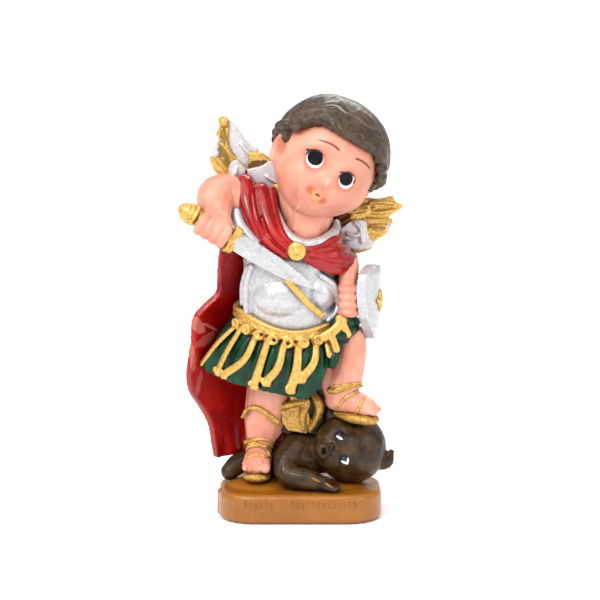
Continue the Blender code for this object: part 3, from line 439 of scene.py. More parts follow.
# Arms, sword and shield
def model_sword_arm(clay):
    """The right arm swings out from under the cape, and its fist comes forward."""
    limb(clay, [(-9.0, 2.0, 63.0), (-14.4, 0.8, 67.2), (-18.7, -0.6, 69.0), (-19.6, -5.2, 67.0),
                SWORD_HAND - 0.9 * SWORD_EDGE],
         [5.2, 5.2, 5.0, 4.2, 3.4], steps=5)
    ball(clay, SWORD_HAND - 1.0 * SWORD_EDGE + 0.6 * TOWARDS_VIEWER, (3.9, 3.0, 3.4))
    for k in range(4):
        knuckle = SWORD_HAND + (1.95 * (k - 1.5)) * SWORD_LINE
        curl = [(-1.6, 2.6), (0.4, 3.3), (2.0, 2.5), (2.5, 0.4)]
        limb(clay, [knuckle + q * SWORD_EDGE + f * TOWARDS_VIEWER for q, f in curl],
             [1.1, 1.15, 1.1, 1.0])


def model_blade(clay):
    """A short blade with a ridge down its middle."""
    start, length, half, spine = 5.6, 21.4, 2.3, 1.2
    shares = [(0.0, 1.0), (0.3, 1.0), (0.6, 0.86), (0.8, 0.6), (0.92, 0.34), (1.0, 0.05)]
    rings = []
    for share, width in shares:
        middle = SWORD_HAND + (start + length * share) * SWORD_LINE
        rim = [(half * width, 0.12), (0.0, spine * max(width, 0.3)), (-half * width, 0.12),
               (-half * width, -0.12), (0.0, -spine * max(width, 0.3)), (half * width, -0.12)]
        section = [middle + q * SWORD_EDGE + f * TOWARDS_VIEWER for q, f in rim]
        rings.append([clay.verts.new(place(spot)) for spot in section])
    bridge(clay, rings)


def model_hilt(clay):
    """The guard with its two ridges and the turned pommel."""
    for along, half, thick in ((4.7, 2.8, 0.7), (5.7, 2.6, 0.7)):
        middle = SWORD_HAND + along * SWORD_LINE
        limb(clay, [middle - half * SWORD_EDGE, middle + half * SWORD_EDGE], [thick, thick], 1.5,
             TOWARDS_VIEWER)
    for along, r in ((-4.6, 2.0), (-5.8, 2.4), (-7.0, 2.2), (-8.0, 1.5)):
        ball(clay, SWORD_HAND + along * SWORD_LINE, (r, r, r), None, 2)
    limb(clay, [SWORD_HAND - 4.0 * SWORD_LINE, SWORD_HAND + 5.0 * SWORD_LINE], [1.3, 1.3])


def model_shield_arm(clay):
    """The left arm drops from the cape and grips the shield's handle."""
    limb(clay, [(8.4, 2.0, 54.6), (10.4, 3.2, 52.0), (11.2, 0.4, 49.0), (11.3, -3.6, 49.6)],
         [3.6, 3.0, 2.8, 2.6])
    limb(clay, [(11.4, -2.8, 53.0), (11.3, -4.4, 49.6), (11.3, -4.8, 45.4), (11.4, -4.6, 43.0)],
         [2.4, 2.3, 2.4, 2.0])
    for k in range(4):
        z = 47.8 - 1.9 * k
        limb(clay, [(13.3, -4.6, z), (12.2, -7.0, z), (10.2, -6.9, z), (9.4, -4.8, z)], [0.95] * 4)
    limb(clay, [(12.0, -4.6, 45.0), (15.6, -3.2, 45.0)], [1.6, 1.6])


SHIELD_OUT = Vector((math.cos(SHIELD_TURN), -math.sin(SHIELD_TURN), 0.0))
SHIELD_ACROSS = Vector((math.sin(SHIELD_TURN), math.cos(SHIELD_TURN), 0.0))
# The shield's half width, as a share of the full one, at heights above its middle
SHIELD_OUTLINE = [(8.2, 0.10), (7.7, 0.32), (6.6, 0.45), (3.8, 0.50), (0.0, 0.49), (-3.6, 0.42),
                  (-6.6, 0.27), (-8.4, 0.12), (-9.3, 0.03)]


def model_shield(clay):
    """A heater shield, bowed outwards, thick as a casting needs."""
    rings = []
    for z, share in SHIELD_OUTLINE:
        half = share * SHIELD_WIDTH
        outer, inner = [], []
        for k in range(13):
            across = half * (2 * k / 12 - 1)
            bow = 1.9 * (1 - (2 * across / SHIELD_WIDTH) ** 2) * (0.4 + 0.6 * min(1.0, 2.2 * share))
            spot = SHIELD_CENTRE + across * SHIELD_ACROSS + Vector((0.0, 0.0, z))
            outer.append(clay.verts.new(place(spot + (bow + SHIELD_THICKNESS / 2) * SHIELD_OUT)))
            inner.append(clay.verts.new(place(spot + (0.5 * bow - SHIELD_THICKNESS / 2) * SHIELD_OUT)))
        rings.append(outer + inner[::-1])
    bridge(clay, rings)


def model_shield_boss(clay):
    """The gold device at the middle of the shield."""
    centre = SHIELD_CENTRE + 3.0 * SHIELD_OUT
    turn = Matrix.Rotation(-SHIELD_TURN, 3, "Z")
    ball(clay, centre, (0.7, 1.3, 2.7), turn)
    ball(clay, centre, (0.65, 2.5, 1.0), turn)


# Head and hair
# Soft swellings and hollows of the face: middle in X and Z, spread and height
FACE_FORMS = [
    (-5.8, -6.0, 3.4, 0.8), (6.0, -6.0, 3.4, 0.8), (0.3, -11.0, 2.6, 1.0), (0.2, -7.5, 2.0, 0.7),
    (-4.5, -0.8, 2.8, -0.9), (4.2, -1.0, 2.8, -0.9), (-0.3, -4.4, 1.6, 2.0), (-0.2, -2.6, 1.4, 0.7),
]
LIPS = [(0.2, -6.8, 1.1, 0.8), (0.2, -8.3, 1.0, 0.8), (0.2, -7.5, 0.5, -0.5)]


def face_place(direction):
    """The skin of the head in this direction from its middle, in the head's own frame."""
    d = Vector(direction).normalized()
    jaw = max(0.0, -d.z)
    spot = Vector((11.4 * d.x + 0.2, (11.6 + 0.4 * jaw) * d.y, (13.2 + 0.9 * jaw) * d.z))
    spot.x *= 1 + 0.10 * math.sin(math.pi * min(1.0, 1.15 * jaw)) ** 2
    spot.z *= 1 + 0.03 * jaw * (1 - jaw)
    if d.y < 0:
        for x, z, spread, height in FACE_FORMS + LIPS:
            away = (spot.x - x)**2 + (spot.z - z)**2
            spot.y -= height * math.exp(-away / (2 * (0.62 * spread)**2)) * min(1.0, -2.5 * d.y)
    return spot


def model_head(clay):
    """A round child's head, with neck, ears, button nose and small mouth."""
    limb(clay, [(1.2, 0.6, 57.5), (1.8, 0.4, 62.0), (2.6, 0.2, 66.0), (3.6, 0.4, 70.0)],
         [5.7, 5.6, 5.5, 5.3])
    limb(clay, [(0.6, 0.6, 60.0), (-0.6, 0.4, 66.0), (-1.0, 0.2, 70.5)], [3.4, 4.3, 4.4])
    skin = bmesh.ops.create_icosphere(clay, subdivisions=6, radius=1.0)["verts"]
    for vertex in skin:
        vertex.co = place(head_place(face_place(vertex.co)))
    for side in (-1, 1):
        ball(clay, head_place((10.6 * side, 0.6, -2.8)), (1.0, 2.0, 2.8), HEAD_TURN)
        rim = [(10.2, -0.2, -5.8), (11.3, 0.9, -5.8), (12.0, 2.0, -3.2), (12.0, 1.2, -0.4),
               (11.6, -0.9, 0.3), (11.2, -1.6, -1.6)]
        path = [head_place((x * side, y, z)) for x, y, z in rim]
        limb(clay, path, [0.8, 0.85, 0.8, 0.8, 0.7, 0.4])


CAP_CENTRE = Vector((0.0, 1.3, 1.5))
CAP_RADII = Vector((13.0, 13.1, 13.3))


def hair_grows(spot):
    """Whether hair covers the cap at this place of the head's frame."""
    wave = 0.5 * math.sin(1.7 * spot.x + 0.6)
    if spot.y < -3.6:
        return spot.z > 8.9 - 0.030 * (spot.x - 1.0)**2 + 0.8 * wave
    if spot.y < -1.6:
        return spot.z > -1.4
    if spot.y < 3.2:
        return spot.z > -0.4 + 0.4 * wave
    return spot.z > -2.0 - 1.3 * (spot.y - 3.2) + 0.6 * wave


def scalp_place(azimuth, fall, rise=0.0):
    """A place on the hair: azimuth in degrees round the head (270 is the front), fall from the crown."""
    a, f = math.radians(azimuth), math.radians(fall)
    d = Vector((math.sin(f) * math.cos(a), math.sin(f) * math.sin(a), math.cos(f)))
    return CAP_CENTRE + Vector(d[i] * (CAP_RADII[i] + rise) for i in range(3))


def model_hair(clay):
    """A close cap of hair, combed from the crown, that ends in small curls."""
    cap = bmesh.ops.create_icosphere(clay, subdivisions=5, radius=1.0)["verts"]
    for vertex in cap:
        spot = CAP_CENTRE + Vector(vertex.co[i] * CAP_RADII[i] for i in range(3))
        if not hair_grows(spot):
            spot = CAP_CENTRE + 0.8 * (spot - CAP_CENTRE)
        vertex.co = place(head_place(spot))
    for k in range(30):
        azimuth = 12 * k + 3
        fall = lock_length(azimuth + 20) - 2
        path = []
        for step in range(6):
            t = step / 5
            sweep = 24 * t + 7 * math.sin(9 * t + 2.1 * k)
            path.append(head_place(scalp_place(azimuth + sweep, 18 + (fall - 18) * t, 0.1 + 0.35 * t)))
        out = [p - head_place((0, 0, 0)) for p in path]
        limb(clay, path, [0.5, 1.2, 1.4, 1.5, 1.4, 0.8], 0.5, out, steps=3, sides=8)
    for k in range(36):
        azimuth = 10 * k + 6
        fall = lock_length(azimuth) + 2
        ball(clay, head_place(scalp_place(azimuth, fall, 0.2)), (1.5, 1.5, 1.5), None, 2)


def lock_length(azimuth):
    """How far from the crown, in degrees, the hair reaches at this azimuth."""
    front = max(0.0, -math.sin(math.radians(azimuth)))
    back = max(0.0, math.sin(math.radians(azimuth)))
    return 87 - 29 * min(1.0, 1.3 * front) ** 2.2 + 35 * min(1.0, 1.2 * back)


# Cape
# The cape from the shoulders down: height, left edge x and y, right edge x and y, and backward bulge
CAPE_EDGES = [
    (67.0, -13.0, 3.0, 5.6, 3.0, 4.8), (60.0, -17.6, 2.6, 9.0, 3.6, 5.4),
    (53.0, -19.0, 2.0, 12.0, 4.6, 7.6), (48.0, -19.1, 1.4, 11.6, 6.0, 8.2),
    (45.4, -19.6, 0.8, 11.0, 6.6, 8.4), (42.6, -22.6, 0.0, 10.2, 7.2, 8.4),
    (39.5, -25.0, -0.6, 9.2, 8.2, 8.2), (34.0, -25.3, -1.4, 6.8, 9.4, 7.8),
    (27.0, -26.4, -1.6, 3.8, 9.8, 7.2), (22.5, -25.9, -0.8, 1.8, 9.8, 6.2),
    (18.5, -23.6, 0.8, 0.4, 9.7, 5.0), (14.5, -21.6, 1.8, -1.2, 9.5, 4.4),
    (10.0, -20.8, 2.6, -2.6, 9.2, 3.6), (5.6, -20.2, 3.4, -3.6, 9.0, 2.8),
]
CAPE_THICKNESS = 1.7


def model_cape(clay):
    """The drape behind the figure, swung to the viewer's left."""
    rows = []
    last = len(CAPE_EDGES) - 1
    for i, (z, left, left_y, right, right_y, bulge) in enumerate(CAPE_EDGES):
        low = (67.0 - z) / 61.0
        near = CAPE_EDGES[max(i - 2, 0):min(i + 2, last) + 1]
        steady = sum(edges[1] for edges in near) / len(near)
        row = []
        for k in range(9):
            t = k / 8
            x = left + (right - left) * t + (steady - left) * min(1.0, 3 * t) * (1 - t)
            fold = (0.4 + 0.7 * low) * math.cos(math.pi * k + 2.0 * low) * min(1.0, 4 * t)
            y = left_y + (right_y - left_y) * t + bulge * math.sin(math.pi * t) + fold
            row.append((x, y, z))
        rows.append(row)
    drape(clay, rows, CAPE_THICKNESS, 4, 3)


# Each roll of the mantle over the shoulders: its path, then its radii
MANTLE_LEFT = [
    ([(-12.2, 5.6, 62.0), (-12.4, 5.6, 68.0), (-12.9, 2.0, 71.6), (-12.7, -1.6, 69.6),
      (-11.8, -4.0, 66.0), (-10.4, -5.6, 62.4), (-9.4, -6.4, 60.2)],
     [2.0, 2.2, 2.3, 2.3, 2.1, 1.9, 1.5]),
    ([(-8.4, 7.0, 61.0), (-8.8, 6.2, 67.0), (-9.2, 1.8, 70.0), (-8.8, -1.8, 68.2),
      (-7.8, -4.6, 64.4), (-6.0, -6.6, 60.6), (-3.0, -7.8, 57.6)],
     [1.8, 1.9, 1.9, 1.9, 1.8, 1.7, 1.3]),
    ([(-5.6, 7.0, 62.0), (-6.4, 5.2, 67.4), (-6.6, 1.2, 69.8), (-6.4, -1.8, 67.4),
      (-5.6, -4.6, 63.6), (-4.0, -6.6, 60.2), (-1.8, -7.6, 58.0)],
     [1.3, 1.3, 1.3, 1.3, 1.2, 1.2, 1.0]),
    ([(-9.2, -6.0, 60.2), (-6.6, -7.2, 57.8), (-3.4, -8.0, 56.0)],
     [1.5, 1.4, 1.1]),
]
MANTLE_RIGHT = [
    ([(1.0, -7.9, 57.0), (4.6, -7.1, 57.3), (7.2, -5.0, 58.4), (8.4, -1.2, 58.8),
      (8.4, 3.6, 58.8)],
     [0.9, 1.3, 1.6, 1.7, 1.8]),
    ([(1.2, -8.1, 56.2), (5.2, -7.6, 56.0), (8.4, -5.8, 56.2), (9.9, -1.8, 56.0),
      (10.2, 4.0, 55.8)],
     [0.9, 1.5, 1.7, 1.7, 1.9]),
    ([(1.4, -8.2, 55.2), (5.4, -7.8, 54.4), (9.0, -6.4, 54.1), (11.5, -2.6, 53.9),
      (12.0, 3.6, 53.4)],
     [0.9, 1.5, 1.8, 1.8, 1.8]),
    ([(1.6, -8.0, 54.9), (4.4, -7.9, 53.6), (7.6, -7.0, 52.5), (11.2, -3.6, 52.6),
      (12.3, 1.6, 52.2)],
     [0.8, 1.1, 1.3, 1.4, 1.5]),
]


def model_mantle(clay):
    """The cape's rolls across the shoulders, gathered at the clasp."""
    for path, radii in MANTLE_LEFT + MANTLE_RIGHT:
        limb(clay, path, radii)


def model_clasp(clay):
    """The round clasp at the throat."""
    turn = Matrix.Rotation(math.radians(12), 3, "X")
    ball(clay, (-0.7, -8.7, 56.9), (2.3, 1.2, 2.3), turn)
    ball(clay, (-0.7, -9.2, 56.9), (1.3, 0.9, 1.3), turn, 2)


# Wings
# Each group of feathers: its outline in X and Z, then the depth of its front
LEFT_WING = [
    ([(-17.9, 86.2), (-16.5, 85.8), (-14.6, 83.9), (-13.1, 81.4), (-11.4, 79.8), (-10.0, 79.2),
      (-7.0, 72.0), (-13.0, 73.0), (-16.7, 79.2), (-18.0, 81.1)], 7.6),
    ([(-18.0, 86.9), (-19.2, 86.0), (-19.0, 84.2), (-19.8, 82.6), (-19.6, 79.0), (-16.8, 79.0),
      (-16.7, 84.0), (-16.8, 86.2)], 7.0),
    ([(-19.5, 82.0), (-20.4, 79.6), (-20.2, 78.0), (-21.2, 76.2), (-20.3, 74.0), (-17.0, 70.4),
      (-13.4, 71.0), (-15.2, 75.4), (-15.6, 77.4), (-16.8, 80.0)], 6.6),
    ([(-12.0, 78.3), (-8.9, 78.3), (-6.0, 76.2), (-6.0, 70.0), (-12.5, 72.0)], 6.2),
    ([(-12.4, 74.4), (-8.9, 75.2), (-7.3, 76.4), (-5.2, 75.9), (-2.7, 69.9), (-5.9, 67.3),
      (-11.7, 69.9)], 5.0),
]
RIGHT_WING = [
    ([(5.0, 60.0), (6.0, 64.0), (12.3, 65.4), (16.0, 67.5), (18.0, 67.3), (20.0, 67.5),
      (22.0, 68.0), (22.6, 66.4), (24.1, 66.0), (24.2, 65.0), (21.4, 63.2), (19.6, 61.6),
      (16.5, 61.4)], 7.4),
    ([(8.0, 57.0), (9.0, 62.2), (15.6, 62.6), (21.8, 62.5), (22.1, 61.2), (21.0, 59.4),
      (19.3, 58.0), (16.1, 57.0)], 6.9),
    ([(8.0, 55.6), (10.0, 60.0), (15.6, 59.4), (18.7, 58.2), (17.8, 56.9), (16.9, 55.3),
      (14.7, 54.5), (11.4, 54.0)], 6.4),
    ([(7.0, 60.0), (9.0, 63.4), (12.3, 64.9), (14.4, 65.7), (16.4, 66.0), (16.9, 64.0),
      (15.1, 62.9), (12.6, 61.4)], 5.8),
    ([(8.6, 57.6), (9.6, 60.4), (11.6, 62.0), (14.1, 62.6), (15.6, 62.2), (16.0, 59.0),
      (17.2, 57.0), (16.6, 55.6), (14.2, 55.2), (11.8, 55.6)], 5.2),
]
FEATHER_THICKNESS = 1.7


def model_wing_roots(clay):
    """The stems that join the wings to the shoulders."""
    limb(clay, [(-1.0, 4.0, 66.0), (-6.0, 6.4, 71.0), (-9.0, 7.4, 73.0)], [3.6, 2.4, 1.6], 0.6)
    limb(clay, [(3.0, 4.0, 60.0), (9.0, 6.4, 59.6), (12.0, 7.4, 59.4)], [3.6, 2.4, 1.6], 0.6)


# Fine relief, laid on the surfaces of the casting. Points are laid on it from these depths in front.
BEFORE_THE_FIGURE = -40.0
BEFORE_THE_FACE = -20.0
IRIS_SIDES = 40

# Millimetres in a metre
MILLIMETRES = 1000.0


def tree_of(*pieces):
    """A search tree over the faces of these pieces."""
    corners, faces = [], []
    for piece in pieces:
        start = len(corners)
        corners += [v.co.copy() for v in piece.data.vertices]
        faces += [[start + i for i in p.vertices] for p in piece.data.polygons]
    return BVHTree.FromPolygons(corners, faces)


def canon(spot):
    """A place in the world as a point of the canon."""
    return (Vector(spot) - Vector((0.0, 0.0, PLINTH_HEIGHT))) / UNIT


def dropped(tree, x, z, over=0.0):
    """The point of the canon where a line from the front first meets the tree, lifted by over."""
    hit = tree.ray_cast(place((x, BEFORE_THE_FIGURE, z)), Vector((0.0, 1.0, 0.0)))
    return None if hit[0] is None else canon(hit[0]) + over * TOWARDS_VIEWER


def laid(clay, tree, points, radii, over=0.1, flat=1.0, steps=4):
    """A cord or strip laid on the tree's front along points in X and Z."""
    path = [dropped(tree, p.x, p.z, over) for p in smooth_path([(x, 0.0, z) for x, z in points], steps)]
    path = [spot for spot in path if spot is not None]
    last = len(path) - 1
    widths = []
    for i in range(len(path)):
        at = i / last * (len(radii) - 1)
        k = min(int(at), len(radii) - 2)
        widths.append(radii[k] + (radii[k + 1] - radii[k]) * (at - k))
    limb(clay, path, widths, flat, steps=1, sides=8)


def press(piece, strokes, width, depth, facing=0.35):
    """Presses grooves into the front of a piece along strokes of points in X and Z. Negative depths raise."""
    across = [x for stroke in strokes for x, _ in stroke]
    upward = [z for stroke in strokes for _, z in stroke]
    reach = 2 * width
    for vertex in piece.data.vertices:
        spot = canon(vertex.co)
        beside = spot.x < min(across) - reach or spot.x > max(across) + reach
        off = spot.z < min(upward) - reach or spot.z > max(upward) + reach
        if beside or off or -vertex.normal.y < facing:
            continue
        spot.y = 0.0
        away = min(
            (spot - nearest_on(spot, Vector((a[0], 0.0, a[1])), Vector((b[0], 0.0, b[1])))).length
            for stroke in strokes for a, b in zip(stroke, stroke[1:])
        )
        if away < reach:
            vertex.co.y += depth * UNIT * math.exp(-2.0 * (away / width) ** 2)


def nearest_on(spot, a, b):
    """The place nearest to a spot on the line from a to b."""
    share = max(0.0, min(1.0, (spot - a).dot(b - a) / (b - a).length_squared))
    return a.lerp(b, share)


def shown(name, clay):
    """Makes an object of a bmesh and puts it in the scene."""
    mesh = bpy.data.meshes.new(name + "_clay")
    clay.to_mesh(mesh)
    clay.free()
    thing = bpy.data.objects.new(name, mesh)
    bpy.context.scene.collection.objects.link(thing)
    return thing


def settled(piece):
    """Turns what a piece's modifiers make of it into its own mesh."""
    before = piece.data
    bpy.context.view_layer.update()
    done = piece.evaluated_get(bpy.context.evaluated_depsgraph_get())
    mesh = bpy.data.meshes.new_from_object(done)
    piece.modifiers.clear()
    piece.data = mesh
    bpy.data.meshes.remove(before)


def cast(name, forms, grain, softening, paint):
    """Casts some forms as one closed piece of the statuette, painted."""
    clay = bmesh.new()
    for form in forms:
        form(clay)
    bmesh.ops.recalc_face_normals(clay, faces=clay.faces)
    piece = shown(name, clay)
    remesh = piece.modifiers.new("cast", "REMESH")
    remesh.mode = "VOXEL"
    remesh.voxel_size = grain * UNIT
    smooth = piece.modifiers.new("soften", "SMOOTH")
    smooth.factor = 0.5
    smooth.iterations = softening
    settled(piece)
    painted(piece, paint)
    return piece


# The share of its faces that each dense piece keeps
FACE_SHARES = {
    "cape": 0.5, "plinth": 0.5, "cuirass": 0.6, "figure_skin": 0.65, "head_skin": 0.65, "hair": 0.7,
    "demon": 0.7, "kilt": 0.7, "kilt_trim": 0.8, "gold_feathers": 0.8, "mantle": 0.8,
}


def thinned(piece, share):
    """Leaves a share of a piece's faces, fewest where it is flat."""
    thin = piece.modifiers.new("thin", "DECIMATE")
    thin.ratio = share
    settled(piece)


def painted(piece, paint):
    """Paints a piece and gives it its place in the casting."""
    piece.data.shade_smooth()
    piece.data.materials.clear()
    piece.data.materials.append(paint)
    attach(piece, "root")
    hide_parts("archangel_statue")


# Paints
class Paint:
    """A node material of hand-laid paint, with short names for its nodes."""

    def __init__(self, name, roughness, metallic=0.0, coat=0.0, **sockets):
        self.material = bpy.data.materials.new(name)
        self.material.use_nodes = True
        self.tree = self.material.node_tree
        self.shader = self.tree.nodes["Principled BSDF"]
        self.shader.inputs["Roughness"].default_value = roughness
        self.shader.inputs["Metallic"].default_value = metallic
        self.shader.inputs["Coat Weight"].default_value = coat
        self.shader.inputs["Coat Roughness"].default_value = 0.12
        for socket, value in sockets.items():
            self.shader.inputs[socket.replace("_", " ")].default_value = value
        self.place = self.put("ShaderNodeTexCoord").outputs["Object"]

    def put(self, kind, inputs=(), **settings):
        """A node with its settings and inputs; an input is a value or another node's output."""
        node = self.tree.nodes.new(kind)
        for key, value in settings.items():
            setattr(node, key, value)
        for key, value in dict(inputs).items():
            if isinstance(value, bpy.types.NodeSocket):
                self.tree.links.new(value, node.inputs[key])
            else:
                node.inputs[key].default_value = value
        return node

    def noise(self, size, detail=3.0, rough=0.55, distort=0.0, vector=None):
        """Noise from 0 to 1, with features of about this size in millimetres."""
        return self.put("ShaderNodeTexNoise", {
            "Vector": vector or self.place, "Scale": MILLIMETRES / size, "Detail": detail, "Roughness": rough,
            "Distortion": distort,
        }).outputs["Fac"]

    def cells(self, size):
        """Cells of about this size in millimetres."""
        return self.put("ShaderNodeTexVoronoi", {"Vector": self.place, "Scale": MILLIMETRES / size})

    def sum(self, kind, a, b=0.0, c=0.0, clamp=False):
        """One step of arithmetic."""
        return self.put("ShaderNodeMath", {0: a, 1: b, 2: c}, operation=kind, use_clamp=clamp).outputs[0]

    def ramp(self, value, low, high, bottom=0.0, top=1.0):
        """The value spread from low..high to bottom..top, with a soft start and end."""
        return self.put("ShaderNodeMapRange", {0: value, 1: low, 2: high, 3: bottom, 4: top},
                        interpolation_type="SMOOTHSTEP").outputs[0]

    def blend(self, share, a, b):
        """Colour a where share is 0 and b where it is 1."""
        def full(colour):
            return colour if isinstance(colour, bpy.types.NodeSocket) else (*colour, 1.0)
        return self.put("ShaderNodeMix", {0: share, 6: full(a), 7: full(b)}, data_type="RGBA").outputs[2]

    def hollows(self, tone, deep, reach, strength):
        """Darkens a colour where the relief is hollow, within a reach in millimetres: painted shade, from how closed
        in each place is.
        """
        open_sky = self.put("ShaderNodeAmbientOcclusion", {"Distance": reach / MILLIMETRES}, samples=6).outputs["AO"]
        return self.blend(self.ramp(open_sky, 0.75, 0.15, 0.0, strength), tone, deep)

    def oval(self, u, w, centre, half, lean=0.0):
        """Squared reach from an oval's middle, 1 on its rim, and its two shares."""
        c, s = math.cos(math.radians(lean)), math.sin(math.radians(lean))
        du = self.sum("SUBTRACT", u, centre[0])
        dw = self.sum("SUBTRACT", w, centre[1])
        along = self.sum("ADD", self.sum("MULTIPLY", du, c / half[0]), self.sum("MULTIPLY", dw, s / half[0]))
        across = self.sum("ADD", self.sum("MULTIPLY", du, -s / half[1]), self.sum("MULTIPLY", dw, c / half[1]))
        reach = self.sum("ADD", self.sum("MULTIPLY", along, along), self.sum("MULTIPLY", across, across))
        return reach, along, across

    def patches(self, tone, spots):
        """Lays soft ovals of colour on the front, in the canon's X and Z: middle, half sizes, lean, colour, share."""
        u = self.axis(self.place, (0, 0, 0), (1, 0, 0))
        w = self.axis(self.place, (0, 0, 0), (0, 0, 1))
        ragged = self.ramp(self.noise(1.2, 3.0), 0.2, 0.8, -0.45, 0.45)
        outward = self.put("ShaderNodeTexCoord").outputs["Normal"]
        front = self.ramp(self.put("ShaderNodeSeparateXYZ", {0: outward}).outputs["Y"], 0.1, -0.1)
        for centre, half, lean, colour, share in spots:
            reach = self.sum("ADD", self.oval(u, w, centre, half, lean)[0], ragged)
            tone = self.blend(self.sum("MULTIPLY", self.ramp(reach, 1.15, 0.85, 0.0, share), front), tone, colour)
        return tone

    def colour(self, colour):
        self.tree.links.new(colour, self.shader.inputs["Base Color"])

    def rough(self, value):
        self.tree.links.new(value, self.shader.inputs["Roughness"])

    def bump(self, height, strength, depth):
        """A bump of this depth in millimetres, over any that is there."""
        links = self.shader.inputs["Normal"].links
        inputs = {"Height": height, "Strength": strength, "Distance": depth / MILLIMETRES}
        if links:
            inputs["Normal"] = links[0].from_socket
        normal = self.put("ShaderNodeBump", inputs).outputs["Normal"]
        self.tree.links.new(normal, self.shader.inputs["Normal"])

    def axis(self, vector, centre, direction):
        """How far a place lies from a centre along a direction, both in the canon."""
        offset = self.put("ShaderNodeVectorMath", {0: vector, 1: place(centre)}, operation="SUBTRACT").outputs[0]
        along = Vector(direction) / UNIT
        return self.put("ShaderNodeVectorMath", {0: offset, 1: along}, operation="DOT_PRODUCT").outputs["Value"]


def skin_paint(name, face=False):
    p = Paint(name, 0.38, coat=0.1, Subsurface_Weight=0.1, Subsurface_Scale=0.001, Specular_IOR_Level=0.35)
    p.shader.inputs["Subsurface Radius"].default_value = (1.0, 0.4, 0.25)
    tone = p.blend(p.ramp(p.noise(6.0, 4.0), 0.35, 0.7), (0.71, 0.325, 0.225), (0.62, 0.23, 0.155))
    speck = p.ramp(p.noise(0.5, 2.0), 0.62, 0.75)
    tone = p.blend(p.sum("MULTIPLY", speck, 0.25), tone, (0.84, 0.50, 0.38))
    if face:
        tone = face_colour(p, tone)
    # Painted shade in the skin's hollows and creases
    p.colour(p.hollows(tone, (0.40, 0.09, 0.055), 2.4, 0.8))
    p.rough(p.ramp(p.noise(2.0, 3.0), 0.3, 0.7, 0.33, 0.48))
    p.bump(p.noise(0.8, 3.0), 0.25, 0.05)
    return p.material


def face_colour(p, skin):
    """The painted eyes, lids, brows, lips and blush, with painted shade, painted highlights and a pale seam line, as
    masks in the head's own frame.
    """
    u = p.axis(p.place, HEAD_CENTRE, HEAD_TURN @ Vector((1, 0, 0)))
    w = p.axis(p.place, HEAD_CENTRE, HEAD_TURN @ Vector((0, 0, 1)))
    v = p.axis(p.place, HEAD_CENTRE, HEAD_TURN @ Vector((0, 1, 0)))
    front = p.ramp(v, -5.0, -6.5)

    def oval(centre, half, lean=0.0):
        return p.oval(u, w, centre, half, lean)

    def inside(reach, soft=0.08):
        return p.sum("MULTIPLY", p.ramp(reach, 1.0 + soft, 1.0 - soft), front)

    def stroke(points, width, within=front):
        """A brush line through three points, tapering to its ends."""
        (ax, az), (bx, bz), (cx, cz) = points
        span = cx - ax
        bend = ((bz - az) - (cz - az) * (bx - ax) / span) / ((bx - ax) * (bx - cx))
        share = p.sum("DIVIDE", p.sum("SUBTRACT", u, ax), span)
        chord = p.sum("ADD", p.sum("MULTIPLY", share, cz - az), az)
        arch = p.sum("MULTIPLY", p.sum("MULTIPLY", p.sum("SUBTRACT", u, ax), p.sum("SUBTRACT", u, cx)), bend)
        away = p.sum("ABSOLUTE", p.sum("SUBTRACT", w, p.sum("ADD", chord, arch)))
        taper = p.sum("MULTIPLY", p.ramp(share, -0.02, 0.08), p.ramp(share, 1.02, 0.88))
        return p.sum("MULTIPLY", p.sum("MULTIPLY", p.ramp(away, width * 1.4, width * 0.5), taper), within)

    tone = skin
    # Blush paint, painted shade and a painted highlight, as soft spots
    for spot, half, colour, strength in BLUSH_SHADE_AND_HIGHLIGHT:
        tone = p.blend(p.sum("MULTIPLY", p.ramp(oval(spot, half)[0], 1.0, 0.0), strength), tone, colour)
    # Painted shade of the eye sockets: a dark ring round each eye
    for white, half, *_ in EYES:
        socket_shade = p.ramp(oval(white, (half[0] * 1.55, half[1] * 1.55))[0], 1.0, 0.42)
        tone = p.blend(p.sum("MULTIPLY", p.sum("MULTIPLY", socket_shade, 0.55), front), tone, (0.42, 0.11, 0.055))
    for white, half, iris, iris_half, lashes in EYES:
        tone = p.blend(inside(oval(white, half, EYE_LEAN)[0]), tone, (0.70, 0.66, 0.70))
        tone = p.blend(inside(oval(iris, iris_half)[0]), tone, (0.003, 0.003, 0.006))
        reach, along, across = oval(white, (half[0] * 1.05, half[1] * 1.05), EYE_LEAN)
        away = p.sum("ABSOLUTE", p.sum("SUBTRACT", p.sum("SQRT", reach), 1.0))
        upper = p.ramp(across, 0.25, 0.55)
        lid = p.sum("MULTIPLY", p.sum("MULTIPLY", p.ramp(away, 0.14, 0.06), upper), front)
        tone = p.blend(lid, tone, (0.02, 0.010, 0.014))
        for lash in lashes:
            tone = p.blend(inside(oval(*lash)[0], 0.3), tone, (0.02, 0.010, 0.014))
    for points in BROWS:
        tone = p.blend(stroke(points, 0.25), tone, (0.22, 0.026, 0.004))
    # Pale seam line on the neck, with a painted highlight along its ridge
    tone = p.blend(stroke(PALE_SEAM_HIGHLIGHT, 0.24, p.ramp(v, -2.6, -3.6)), tone, (0.92, 0.70, 0.62))
    # Lip paint, with a painted highlight on the lips
    for spot, half, lean, colour, strength, soft in LIP_PAINT_AND_HIGHLIGHT:
        tone = p.blend(p.sum("MULTIPLY", inside(oval(spot, half, lean)[0], soft), strength), tone, colour)
    return tone


